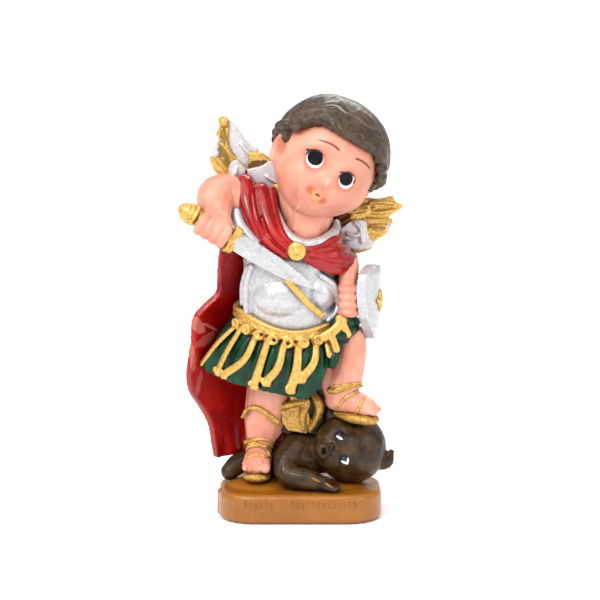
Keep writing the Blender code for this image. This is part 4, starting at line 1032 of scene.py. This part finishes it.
# Each eye, in the head's own frame: middle and half size of the white, then of the iris, and its lashes
EYE_LEAN = 32.0
EYES = [
    ((-4.5, -0.5), (1.9, 1.98), (-4.55, -0.2), (1.70, 1.68),
     [((-6.8, 0.45), (0.42, 0.3), 0.0), ((-6.2, 0.9), (0.5, 0.16), 30.0)]),
    ((4.25, -1.1), (1.83, 1.92), (4.05, -0.8), (1.62, 1.52),
     [((2.2, 0.15), (0.6, 0.2), 30.0), ((6.1, -0.4), (0.2, 0.6), 0.0)]),
]
# The pale line along the mould seam on the neck, in the head's frame: partly the seam's own pale colour, partly a
# painted highlight of its glossy ridge
PALE_SEAM_HIGHLIGHT = ((-1.7, -11.2), (-0.7, -14.4), (1.1, -17.6))
BROWS = [((-6.1, 3.5), (-3.7, 4.3), (-0.5, 4.0)), ((3.2, 4.3), (5.5, 4.5), (8.3, 3.7))]
# Soft spots on the face, in the head's frame: middle, half size, colour and strength. Round the eyes, blush paint
# with painted shade of the sockets; round the mouth and on the viewer's left cheek, blush paint; on the viewer's
# right cheek and temple, painted shade on the side away from the light; inside the ear and beside the nose, painted
# shade; on the nose, a painted highlight; last, a darker band along the hairline.
BLUSH_SHADE_AND_HIGHLIGHT = [
    ((-4.5, -0.6), (3.9, 3.9), (0.66, 0.15, 0.09), 0.75), ((4.3, -1.2), (3.9, 3.9), (0.66, 0.15, 0.09), 0.75),
    ((0.2, -7.4), (3.2, 2.6), (0.74, 0.20, 0.11), 0.45), ((-7.5, -6.0), (4.0, 3.6), (0.80, 0.30, 0.19), 0.5),
    ((7.5, -5.6), (5.0, 4.8), (0.56, 0.22, 0.15), 0.75), ((8.6, 2.0), (3.8, 5.4), (0.54, 0.22, 0.14), 0.6),
    ((-11.1, -2.6), (0.9, 2.3), (0.50, 0.15, 0.08), 0.9), ((0.5, -4.2), (2.3, 1.3), (0.64, 0.22, 0.14), 0.55),
    ((0.3, -3.3), (0.7, 1.3), (0.90, 0.60, 0.50), 0.6), ((1.0, 7.0), (6.5, 2.6), (0.60, 0.24, 0.16), 0.35),
]
# The lips in the head's frame: middle, half size, lean, colour, strength and softness. The dark red corners and the
# dark middle are paint; the light orange ovals are the lips' orange paint made lighter, a painted highlight.
LIP_PAINT_AND_HIGHLIGHT = [
    ((-1.8, -7.0), (1.1, 1.0), 0.0, (0.50, 0.10, 0.04), 0.8, 0.9),
    ((1.9, -7.8), (1.1, 0.9), 0.0, (0.50, 0.10, 0.04), 0.8, 0.9),
    ((-0.5, -7.0), (0.8, 0.6), 0.0, (0.72, 0.32, 0.12), 0.85, 0.5),
    ((0.8, -7.2), (0.75, 0.6), 0.0, (0.72, 0.32, 0.12), 0.85, 0.5),
    ((0.2, -8.0), (1.1, 0.75), 0.0, (0.72, 0.32, 0.12), 0.85, 0.5),
    ((0.05, -7.1), (0.6, 0.42), 0.0, (0.22, 0.03, 0.012), 0.9, 0.6),
]


def iris_paint():
    p = Paint("iris_paint", 0.3, Specular_IOR_Level=0.12)
    p.colour(p.blend(p.ramp(p.noise(0.6), 0.3, 0.7), (0.002, 0.002, 0.004), (0.008, 0.008, 0.012)))
    p.bump(p.noise(0.4), 0.4, 0.03)
    return p.material


def hair_paint():
    p = Paint("hair_paint", 0.36, coat=0.08, Specular_IOR_Level=0.35)
    strand = p.noise(1.0, 3.0, distort=0.6)
    tone = p.blend(p.ramp(strand, 0.3, 0.72), (0.026, 0.014, 0.006), (0.082, 0.050, 0.026))
    tone = p.blend(p.ramp(p.noise(5.0), 0.5, 0.8), tone, (0.105, 0.068, 0.040))
    # Painted shade in the hollows between locks
    p.colour(p.hollows(tone, (0.012, 0.010, 0.008), 1.2, 0.8))
    p.rough(p.ramp(p.noise(1.5), 0.3, 0.7, 0.28, 0.46))
    p.bump(strand, 0.5, 0.12)
    return p.material


def red_paint(name, spots=()):
    p = Paint(name, 0.18, coat=0.3, Specular_IOR_Level=0.4)
    tone = p.blend(p.ramp(p.noise(7.0, 4.0), 0.3, 0.7), (0.22, 0.0005, 0.001), (0.37, 0.002, 0.002))
    thin = p.ramp(p.noise(3.2, 4.0, distort=0.5), 0.60, 0.76)
    tone = p.blend(p.sum("MULTIPLY", thin, 0.5), tone, (0.46, 0.035, 0.028))
    if spots:
        tone = p.patches(tone, spots)
    # Painted shade in the folds and hollows of the red
    p.colour(p.hollows(tone, (0.075, 0.0, 0.002), 2.2, 0.85))
    p.rough(p.ramp(p.noise(1.6), 0.3, 0.75, 0.12, 0.32))
    p.bump(p.noise(1.2, 2.0), 0.45, 0.12)
    return p.material


# Pale patches along the cape's free edge: painted highlight, and painted light showing through the thin red there
PALE = (0.66, 0.24, 0.19)
CAPE_EDGE_HIGHLIGHTS = [
    ((-24.2, 38.4), (1.3, 2.4), 35.0, PALE, 0.45), ((-21.0, 37.4), (2.2, 0.3), -35.0, PALE, 0.4),
    ((-22.2, 34.6), (2.6, 1.2), 30.0, PALE, 0.25), ((-25.3, 31.0), (0.7, 3.4), 5.0, PALE, 0.35),
    ((-20.0, 48.6), (0.5, 4.6), 0.0, PALE, 0.25), ((-23.8, 24.4), (0.6, 3.0), -12.0, PALE, 0.25),
]


def green_paint():
    p = Paint("green_paint", 0.22, coat=0.08, Specular_IOR_Level=0.25)
    tone = p.blend(p.ramp(p.noise(4.0, 4.0), 0.32, 0.7), (0.001, 0.020, 0.008), (0.002, 0.052, 0.020))
    # Painted shade in the kilt's hollows
    p.colour(p.hollows(tone, (0.001, 0.008, 0.004), 1.6, 0.85))
    p.rough(p.ramp(p.noise(1.4), 0.3, 0.75, 0.14, 0.32))
    p.bump(p.noise(1.0, 2.0), 0.4, 0.1)
    return p.material


def flake_paint(name, deep, body, bright, metallic, grain, roughness, spots=(), wear=0.55):
    """Paint full of metal flakes, each flake's glint painted into its colour as a brighter tone in random cells, and
    darker where it is thin.
    """
    p = Paint(name, roughness, metallic, coat=0.15)
    flakes = p.cells(grain)
    shade = p.put("ShaderNodeSeparateColor", {0: flakes.outputs["Color"]}).outputs[0]
    # Painted glints: some flakes lighter at random, as if they catch the light
    tone = p.blend(p.ramp(shade, 0.0, 0.9), body, bright)
    worn = p.ramp(p.noise(2.6, 4.0, distort=0.4), 0.56, 0.74)
    tone = p.blend(p.sum("MULTIPLY", worn, wear), tone, deep)
    if spots:
        tone = p.patches(tone, spots)
    # Painted shade in the hollows of the metal paint
    p.colour(p.hollows(tone, deep, 1.8, 0.9))
    p.rough(p.ramp(p.noise(1.2, 3.0), 0.3, 0.7, roughness - 0.07, roughness + 0.12))
    p.bump(shade, 0.35, 0.05)
    p.bump(p.noise(1.3, 3.0), 0.5, 0.14)
    return p.material


def demon_paint():
    p = Paint("demon_paint", 0.3, coat=0.06, Specular_IOR_Level=0.25)
    tone = p.blend(p.ramp(p.noise(3.0, 4.0), 0.35, 0.7), (0.024, 0.011, 0.003), (0.062, 0.033, 0.011))
    worn = p.ramp(p.noise(1.8, 4.0, distort=0.6), 0.70, 0.76)
    tone = p.blend(p.sum("MULTIPLY", worn, 0.2), tone, (0.30, 0.10, 0.03))
    # Painted eyes with painted glints, the dark mouth and worn spots
    tone = p.patches(tone, DEMON_MARKS)
    # Painted shade in the demon's hollows
    p.colour(p.hollows(tone, (0.006, 0.004, 0.003), 1.6, 0.85))
    p.rough(p.ramp(p.noise(1.5), 0.3, 0.75, 0.22, 0.4))
    p.bump(p.noise(0.9, 3.0), 0.6, 0.12)
    return p.material


# The demon's painted eyes with painted glints on them, its dark mouth and nostrils, and the spots where its paint has
# worn
EYE_BLACK = (0.004, 0.004, 0.009)
EYE_GLINT = (0.75, 0.78, 0.85)
MOUTH_BLACK = (0.004, 0.002, 0.001)
WORN_RED = (0.42, 0.15, 0.04)
DEMON_MARKS = [
    ((9.25, 13.7), (1.2, 1.05), -20.0, EYE_BLACK, 1.0), ((9.2, 13.05), (0.85, 0.3), -28.0, EYE_GLINT, 1.0),
    ((10.05, 8.0), (1.15, 1.1), -20.0, EYE_BLACK, 1.0), ((10.4, 7.25), (0.9, 0.3), -20.0, EYE_GLINT, 1.0),
    ((11.15, 7.7), (0.25, 0.5), 0.0, EYE_GLINT, 1.0),
    ((5.6, 9.9), (0.55, 0.8), 0.0, MOUTH_BLACK, 0.9), ((7.7, 10.4), (0.3, 0.9), -20.0, MOUTH_BLACK, 0.7),
    ((3.8, 3.3), (1.2, 0.22), -24.0, WORN_RED, 0.7), ((6.6, 2.2), (1.1, 0.2), -32.0, WORN_RED, 0.7),
    ((14.0, 1.4), (3.0, 0.5), 10.0, (0.30, 0.10, 0.03), 0.3),
]


def ochre_paint():
    p = Paint("ochre_paint", 0.3, coat=0.2, Specular_IOR_Level=0.4)
    tone = p.blend(p.ramp(p.noise(9.0, 4.0), 0.32, 0.7), (0.27, 0.090, 0.006), (0.33, 0.115, 0.009))
    scuff = p.ramp(p.noise(0.7, 3.0), 0.72, 0.78)
    tone = p.blend(p.sum("MULTIPLY", scuff, 0.6), tone, (0.26, 0.05, 0.015))
    # Painted shade in the plinth's hollows and strokes
    p.colour(p.hollows(tone, (0.20, 0.055, 0.008), 1.6, 0.8))
    p.rough(p.ramp(p.noise(2.0), 0.3, 0.75, 0.22, 0.42))
    p.bump(p.noise(1.6, 3.0), 0.4, 0.14)
    return p.material


# Pieces
def model_skin(clay):
    for form in (model_standing_leg, model_raised_leg, model_sword_arm, model_shield_arm):
        form(clay)


def lay_irises(head):
    """Thin dark discs laid on the whites of the eyes."""
    tree = tree_of(head)
    ahead = HEAD_TURN @ TOWARDS_VIEWER
    clay = bmesh.new()
    for _, _, middle, half, _ in EYES:
        rings = []
        for share, lift in ((0.05, 0.06), (0.4, 0.06), (0.75, 0.06), (0.97, 0.05), (1.0, 0.0), (1.0, -0.3)):
            ring = []
            for k in range(IRIS_SIDES):
                a = math.tau * k / IRIS_SIDES
                x, z = middle[0] + share * half[0] * math.cos(a), middle[1] + share * half[1] * math.sin(a)
                hit = tree.ray_cast(place(head_place((x, BEFORE_THE_FACE, z))), -ahead)[0]
                ring.append(clay.verts.new(hit + lift * UNIT * ahead))
            rings.append(ring)
        bridge(clay, rings)
    bmesh.ops.recalc_face_normals(clay, faces=clay.faces)
    painted(shown("irises", clay), iris_paint())


def model_plinth(clay):
    """The plinth, its mound and the seam left by the mould."""
    rings = []
    corner, edge = PLINTH_CORNER, PLINTH_EDGE
    levels = []
    for a in (0, 30, 60, 90):
        levels.append((edge * (1 - math.cos(math.radians(a))), edge * (1 - math.sin(math.radians(a)))))
    profile = levels + [(PLINTH_HEIGHT - z, inset) for z, inset in reversed(levels)]
    for z, inset in profile:
        outline = rounded_outline(PLINTH_WIDTH - 2 * inset, PLINTH_DEPTH - 2 * inset, corner - inset)
        rings.append([clay.verts.new((x, y, z)) for x, y in outline])
    bridge(clay, rings)
    model_ground(clay)
    limb(clay, [(-18.8, -3.6, -0.8), (-19.0, -3.6, -5.8)], [0.7, 0.6])


def word_strokes():
    """Two runs of short separate strokes where the photograph has an inscription; they form no letters."""
    strokes = []
    for first, count in ((-12.6, 6), (-1.6, 13)):
        for k in range(count):
            x = first + 1.2 * k
            drop = 0.2 * math.cos(1.7 * k)
            strokes.append([(x - 0.1, -1.8 + drop), (x + 0.1, -3.3 + drop)])
    return strokes


def model_locks(clay):
    """Fine locks combed over the cap from the crown to both sides, and long waves along the forehead."""
    for k in range(64):
        azimuth = 360 / 64 * k
        side = -1 if 90 < azimuth < 282 else 1
        fall = lock_length(azimuth + 30 * side) - 5
        path = []
        for step in range(7):
            t = step / 6
            sweep = side * 34 * t + 4 * math.sin(7 * t + 2.6 * k)
            path.append(head_place(scalp_place(azimuth + sweep, 7 + (fall - 7) * t, 0.1 + 0.25 * t)))
        out = [p - head_place((0, 0, 0)) for p in path]
        limb(clay, path, [0.4, 0.7, 0.8, 0.9, 0.9, 0.8, 0.5], 0.5, out, steps=3, sides=8)
    for k, (above, shift) in enumerate(((1.0, 0), (4.2, 7), (7.4, -6), (10.6, 5), (13.8, 0))):
        path = []
        for step in range(11):
            azimuth = 206 + shift + 12.6 * step
            wave = 1.5 * math.sin(1.9 * step + 2.2 * k)
            path.append(head_place(scalp_place(azimuth, lock_length(azimuth) - above + wave, 0.75 - 0.1 * k)))
        out = [p - head_place((0, 0, 0)) for p in path]
        limb(clay, path, [0.7, 1.25, 1.35, 1.3, 1.25, 1.3, 1.35, 1.3, 1.3, 1.2, 0.8], 0.7, out, steps=3, sides=8)
    for k in range(26):
        azimuth = 338 + 9 * k
        fall = lock_length(azimuth) + 1.0
        turn = 8.0 if k % 2 else -6.0
        curl = [(0, -6), (0.5 * turn, -1), (turn, 2), (1.5 * turn, 0)]
        path = [head_place(scalp_place(azimuth + da, fall + df, 0.3)) for da, df in curl]
        out = [p - head_place((0, 0, 0)) for p in path]
        limb(clay, path, [0.8, 1.1, 1.0, 0.6], 0.75, out, steps=3, sides=8)


def model_belt(clay):
    """The belt's two raised edges, the hollow middles of its discs and the knobs that end the strips."""
    for out, lift, width in ((1.1, 0.75, 0.55), (1.2, -0.75, 0.5)):
        loop = [waist_point(15 * k, out) + Vector((0, 0, lift)) for k in range(25)]
        limb(clay, loop, [width] * 25, steps=2, sides=8)
    for turn in DISC_TURNS:
        centre = skirt_point(turn, 0.13, 1.5)
        facing = Matrix.Rotation(math.radians(turn), 3, "Z")
        ring = [centre + facing @ Vector((0.45, 1.05 * math.cos(a), 1.0 * math.sin(a)))
                for a in (math.pi / 4 * k for k in range(9))]
        limb(clay, ring, [0.42] * 9, steps=2, sides=6)
    for _, _, (turn, drop), half in STRIPS[1:7]:
        for side in (-1, 1):
            ball(clay, skirt_point(turn + 2.6 * side * half, drop + 0.02 * side, 0.85), (0.62, 0.62, 0.75), None, 2)


def model_folds(clay):
    """Rounded folds between the strips of the kilt."""
    for turn, drift, width in ((200, -6, 1.0), (217, -4, 1.1), (230, -4, 1.2), (243, -2, 1.1), (256, -4, 1.2),
                               (271, -2, 1.1), (286, -1, 1.3), (303, 4, 1.3), (318, 6, 1.4), (340, 4, 1.2)):
        path = [skirt_point(turn + drift * t, 0.12 + 0.84 * t, -0.45) for t in (0.0, 0.35, 0.7, 0.96)]
        limb(clay, path, [0.4 * width, 0.8 * width, 0.95 * width, 0.85 * width], sides=8)


def model_turnings(clay):
    """The turned rings of the pommel."""
    for along, r in ((-4.2, 1.7), (-5.3, 2.25), (-6.4, 2.3), (-7.4, 1.9), (-8.3, 1.2)):
        middle = SWORD_HAND + along * SWORD_LINE
        ring = []
        for k in range(13):
            a = math.pi / 6 * k
            round_it = math.cos(a) * SWORD_EDGE + math.sin(a) * TOWARDS_VIEWER
            ring.append(middle + r * round_it + 0.35 * math.sin(a) * SWORD_LINE)
        limb(clay, ring, [0.42] * 13, steps=2, sides=6)


# Sandal straps as points in X and Z, laid on the legs
STRAPS = [
    [(-12.7, 9.4), (-11.0, 10.9), (-8.6, 11.3), (-6.6, 10.2)], [(-12.5, 8.8), (-10.0, 9.6), (-7.4, 9.2), (-6.2, 8.0)],
    [(-13.4, 6.8), (-12.0, 9.0), (-10.8, 10.4)], [(-10.4, 10.2), (-8.4, 9.0), (-7.0, 6.9)],
    [(-12.6, 7.0), (-10.0, 7.9), (-7.3, 7.0)],
    [(8.6, 19.2), (10.6, 22.0), (14.4, 23.6), (15.8, 22.2)], [(13.2, 18.6), (14.2, 21.0), (15.4, 22.6)],
    [(7.6, 24.6), (10.6, 25.2), (13.4, 25.4), (15.4, 24.6)],
]


def model_gold_fittings(clay):
    for form in (model_baldric, model_clasp, model_hilt, model_turnings, model_shield_boss):
        form(clay)
    ball(clay, (-0.7, -9.9, 56.9), (0.6, 0.5, 0.6), None, 2)
    ring = [Vector((-0.7 + 1.75 * math.cos(a), -9.4, 56.9 + 1.75 * math.sin(a)))
            for a in (math.pi / 6 * k for k in range(13))]
    limb(clay, ring, [0.36] * 13, steps=2, sides=6)


def model_armour(clay):
    """The breastplate with its side band, its rim at the arm and the neckline."""
    model_cuirass(clay)
    model_collar(clay)
    limb(clay, [(-11.2, -5.6, 53.0), (-12.4, -4.2, 49.0), (-12.6, -4.0, 45.0), (-12.4, -4.2, 41.6)], [0.75] * 4)
    limb(clay, [(5.0, -7.4, 51.0), (7.8, -6.0, 48.6), (8.9, -4.2, 45.0), (8.4, -5.0, 42.2), (6.6, -6.6, 40.6)],
         [0.7] * 5)


def model_feathers(clay, names):
    """Feathers of both wings, with raised edges along their quills."""
    for outline, front in names:
        plate(clay, outline, front, FEATHER_THICKNESS)
        middle = sum((Vector((x, 0.0, z)) for x, z in outline), Vector()) / len(outline)
        tip = max((Vector((x, 0.0, z)) for x, z in outline), key=lambda p: (p - middle).length)
        limb(clay, [middle + Vector((0, front, 0)), middle.lerp(tip, 0.5) + Vector((0, front - 0.1, 0)),
                    middle.lerp(tip, 0.9) + Vector((0, front + 0.2, 0))], [0.5, 0.6, 0.4], sides=8)


def model_gold_edges(clay):
    """The knob on top of the left wing, the bright rim below it and a thin line across it."""
    ball(clay, (-17.8, 7.0, 85.3), (1.3, 1.0, 1.3), None, 2)
    limb(clay, [(-20.9, 6.9, 77.2), (-19.9, 6.6, 75.6), (-18.4, 6.4, 74.2), (-16.6, 6.4, 73.0)],
         [0.4, 0.5, 0.5, 0.4], sides=8)
    limb(clay, [(-18.1, 6.5, 80.0), (-15.5, 6.4, 77.2), (-12.2, 6.3, 73.9)], [0.3, 0.35, 0.3], sides=8)
    for points in (((16.6, 6.9, 66.4), (19.4, 6.8, 66.6), (22.0, 7.0, 66.2)),
                   ((16.6, 6.9, 64.2), (19.0, 6.8, 64.0), (22.4, 7.0, 64.6)),
                   ((16.8, 6.5, 60.8), (19.0, 6.4, 60.9), (21.0, 6.6, 60.8)),
                   ((11.4, 5.4, 64.2), (13.6, 5.3, 64.6), (15.8, 5.5, 64.8))):
        limb(clay, points, [0.35, 0.5, 0.35], sides=8)


def model_white_lumps(clay):
    """The lumps of white paint down the left wing's outer edge and the crease of the right one."""
    for centre, r in (((-19.4, 6.9, 81.2), 0.9), ((-19.9, 6.6, 79.5), 1.0), ((-19.7, 6.6, 77.9), 0.9)):
        ball(clay, centre, (r, 0.8, 1.1 * r), None, 2)
    limb(clay, [(11.2, 4.9, 59.3), (12.8, 4.7, 58.7), (14.2, 4.9, 59.2)], [0.4, 0.5, 0.4], sides=8)
    limb(clay, [(13.0, 4.9, 61.8), (14.3, 4.8, 60.4), (14.6, 4.9, 57.4)], [0.4, 0.5, 0.4], sides=8)


SILVER_FEATHERS = [
    LEFT_WING[0], LEFT_WING[4], RIGHT_WING[4],
    ([(-16.5, 75.6), (-15.5, 76.5), (-14.6, 76.5), (-12.7, 74.4), (-12.9, 73.4), (-15.5, 72.0), (-16.9, 73.0)], 5.9),
]
GOLD_FEATHERS = [LEFT_WING[1], LEFT_WING[2], LEFT_WING[3], *RIGHT_WING[:4]]
UMBER = (0.085, 0.018, 0.004)
BROWN = (0.19, 0.10, 0.018)
CHALK = (0.60, 0.57, 0.58)
GOLD_SHADES = [
    ((-10.0, 75.2), (2.4, 1.3), 15.0, UMBER, 0.9), ((-18.1, 82.4), (0.7, 2.6), 5.0, BROWN, 0.7),
    ((-18.0, 77.6), (1.1, 2.8), 25.0, BROWN, 0.8), ((9.8, 62.0), (2.6, 2.4), 35.0, UMBER, 0.95),
    ((9.4, 59.0), (1.5, 2.2), 0.0, (0.12, 0.045, 0.008), 0.9), ((18.6, 66.9), (2.2, 0.25), 5.0, BROWN, 0.6),
    ((18.4, 60.4), (1.9, 0.8), 0.0, BROWN, 0.55), ((21.2, 60.4), (0.8, 1.2), 0.0, CHALK, 0.8),
    ((17.6, 56.6), (1.0, 0.7), 0.0, CHALK, 0.7), ((14.4, 64.2), (1.6, 0.4), 20.0, BROWN, 0.5),
]
DISC_DOTS = [((x, z), (0.5, 0.5), 0.0, (0.015, 0.006, 0.003), 0.95)
             for x, z in ((-6.0, 36.4), (-2.8, 35.7), (-8.9, 37.6))]
# Lines cut into the casting, or raised on it by the mould's joints, as points in X and Z
MANTLE_CREASES = [
    [(-11.3, 69.4), (-10.9, 66.6), (-10.0, 62.6), (-9.2, 59.6)],
    [(-8.9, 64.4), (-7.5, 61.0), (-5.4, 58.4), (-3.2, 56.8)],
    [(1.6, 56.6), (5.0, 56.6), (8.6, 57.4)], [(2.0, 55.4), (6.0, 54.6), (10.4, 53.9)],
    [(3.4, 57.6), (6.2, 58.2), (8.2, 59.4)],
]
TOES = [[(x, 6.9), (x + 0.05, 4.9)] for x in (-12.3, -11.1, -9.9, -8.7)]
NECK_JOINT = [[(-0.4, 75.4), (-0.4, 70.0), (-0.2, 67.6), (-1.1, 64.7), (-1.3, 61.2)]]
THIGH_JOINT = [[(11.9, 29.4), (13.6, 30.4), (15.4, 31.0)]]
DEMON_MOUTH = [[(5.5, 9.5), (5.5, 10.3)], [(7.6, 9.8), (7.9, 11.0)], [(6.7, 9.6), (6.9, 10.9)]]


def build():
    """Casts and paints every part."""
    skin = skin_paint("skin_paint")
    gold_mix = ((0.16, 0.060, 0.008), (0.52, 0.285, 0.055), (0.78, 0.50, 0.14), 0.6, 0.22, 0.34)
    gold = flake_paint("gold_paint", *gold_mix)
    antique = flake_paint("antique_gold", (0.06, 0.025, 0.005), (0.32, 0.155, 0.022), (0.62, 0.36, 0.08), 0.55, 0.3,
                          0.36)
    silver = flake_paint("silver_paint", (0.24, 0.235, 0.24), (0.43, 0.425, 0.44), (0.60, 0.60, 0.62), 0.45, 0.2, 0.3,
                         wear=0.4)
    pearl = flake_paint("pearl_paint", (0.26, 0.24, 0.26), (0.58, 0.55, 0.58), (0.70, 0.665, 0.67), 0.25, 0.3, 0.3,
                        wear=0.3)
    red = red_paint("red_paint")
    body = cast("figure_skin", [model_skin], 0.26, 3, skin)
    head = cast("head_skin", [model_head], 0.24, 3, skin_paint("face_paint", face=True))
    press(head, NECK_JOINT, 0.42, -0.34)
    lay_irises(head)
    press(body, THIGH_JOINT, 0.24, -0.16)
    press(body, TOES, 0.26, 0.4)
    cast("hair", [model_hair, model_locks], 0.2, 1, hair_paint())
    # The cape's red, with painted highlights along its free edge
    cast("cape", [model_cape], 0.3, 3, red_paint("cape_red", CAPE_EDGE_HIGHLIGHTS))
    mantle = cast("mantle", [model_mantle], 0.24, 3, red)
    press(mantle, MANTLE_CREASES, 0.45, 0.55)
    cast("kilt", [model_skirt, model_folds], 0.26, 3, green_paint())
    cast("cuirass", [model_armour], 0.25, 3, silver)
    cast("sword_blade", [model_blade], 0.2, 1, silver)
    cast("shield", [model_shield], 0.24, 3, silver)
    cast("kilt_trim", [model_kilt_trim, model_belt], 0.2, 2,
         flake_paint("trim_gold", *gold_mix, DISC_DOTS))
    cast("gold_fittings", [model_gold_fittings], 0.2, 2, gold)
    cast("sandals", [model_sandals, model_garters], 0.2, 2, antique)
    cast("demon_wings", [model_demon_wings], 0.24, 2, antique)
    cast("silver_feathers", [lambda clay: model_feathers(clay, SILVER_FEATHERS), model_white_lumps], 0.22, 2,
         pearl)
    cast("gold_feathers", [lambda clay: model_feathers(clay, GOLD_FEATHERS), model_wing_roots, model_gold_edges],
         0.22, 2, flake_paint("feather_gold", *gold_mix, GOLD_SHADES))
    demon = cast("demon", [model_demon, model_web], 0.26, 3, demon_paint())
    press(demon, DEMON_MOUTH, 0.3, 0.5)
    plinth = cast("plinth", [model_plinth], 0.28, 2, ochre_paint())
    press(plinth, word_strokes(), 0.42, 0.5)
    tree = tree_of(body)
    cast("straps", [lambda clay: [laid(clay, tree, strap, [0.34, 0.4, 0.34]) for strap in STRAPS]], 0.16, 1,
         gold)
    for name, share in FACE_SHARES.items():
        thinned(bpy.data.objects[name], share)


# Stage
CAMERA_DISTANCE = 0.5
CAMERA_ELEVATION = math.radians(9)
CAMERA_AIM = Vector((0.0, 0.0, 0.0512))
CAMERA_SENSOR = 36
VIEW_WIDTH = 140.7
CAMERA_LENS = CAMERA_SENSOR * MILLIMETRES * CAMERA_DISTANCE / VIEW_WIDTH


def make_camera():
    data = bpy.data.cameras.new("camera")
    data.sensor_width = CAMERA_SENSOR
    data.lens = CAMERA_LENS
    data.clip_start = 0.01
    back = Vector((0.0, -math.cos(CAMERA_ELEVATION), math.sin(CAMERA_ELEVATION)))
    camera = bpy.data.objects.new("camera", data)
    camera.location = CAMERA_AIM + CAMERA_DISTANCE * back
    camera.rotation_euler = (-back).to_track_quat("-Z", "Y").to_euler()
    bpy.context.scene.collection.objects.link(camera)
    bpy.context.scene.camera = camera


SUN_FROM = Vector((-0.34, -0.52, 0.92))
SUN_STRENGTH = 2.1
SUN_ANGLE = math.radians(80)
SKY_STRENGTH = 0.66
LIGHTS = [
    ("key", (-0.24, -0.42, 0.48), 0.16, 1.5), ("fill", (0.46, -0.36, 0.22), 0.3, 0.7),
    ("back", (0.12, 0.5, 0.5), 0.35, 1.6),
]


def add_lamp(name, kind, spot, aim):
    """A lamp of a kind at a spot, turned to what it aims at."""
    data = bpy.data.lights.new(name, kind)
    lamp = bpy.data.objects.new(name, data)
    lamp.location = spot
    lamp.rotation_euler = (Vector(aim) - Vector(spot)).to_track_quat("-Z", "Y").to_euler()
    bpy.context.scene.collection.objects.link(lamp)
    return data


def make_lights():
    for name, spot, size, power in LIGHTS:
        data = add_lamp(name, "AREA", spot, CAMERA_AIM)
        data.size = size
        data.energy = power
    sun = add_lamp("sun", "SUN", SUN_FROM, (0, 0, 0))
    sun.energy = SUN_STRENGTH
    sun.angle = SUN_ANGLE
    world = bpy.data.worlds.new("studio")
    world.use_nodes = True
    world.node_tree.nodes["Background"].inputs["Color"].default_value = (1.0, 1.0, 1.0, 1.0)
    world.node_tree.nodes["Background"].inputs["Strength"].default_value = SKY_STRENGTH
    bpy.context.scene.world = world
    bpy.context.scene.view_settings.view_transform = "Standard"


FLOOR_REACH = 12.0


def make_floor():
    sheet = bmesh.new()
    bmesh.ops.create_grid(sheet, x_segments=1, y_segments=1, size=FLOOR_REACH)
    floor = shown("floor", sheet)
    paper = bpy.data.materials.new("paper")
    paper.use_nodes = True
    shader = paper.node_tree.nodes["Principled BSDF"]
    shader.inputs["Base Color"].default_value = (0.99, 0.99, 0.99, 1.0)
    shader.inputs["Roughness"].default_value = 1.0
    floor.data.materials.append(paper)


build()
make_camera()
make_lights()
make_floor()
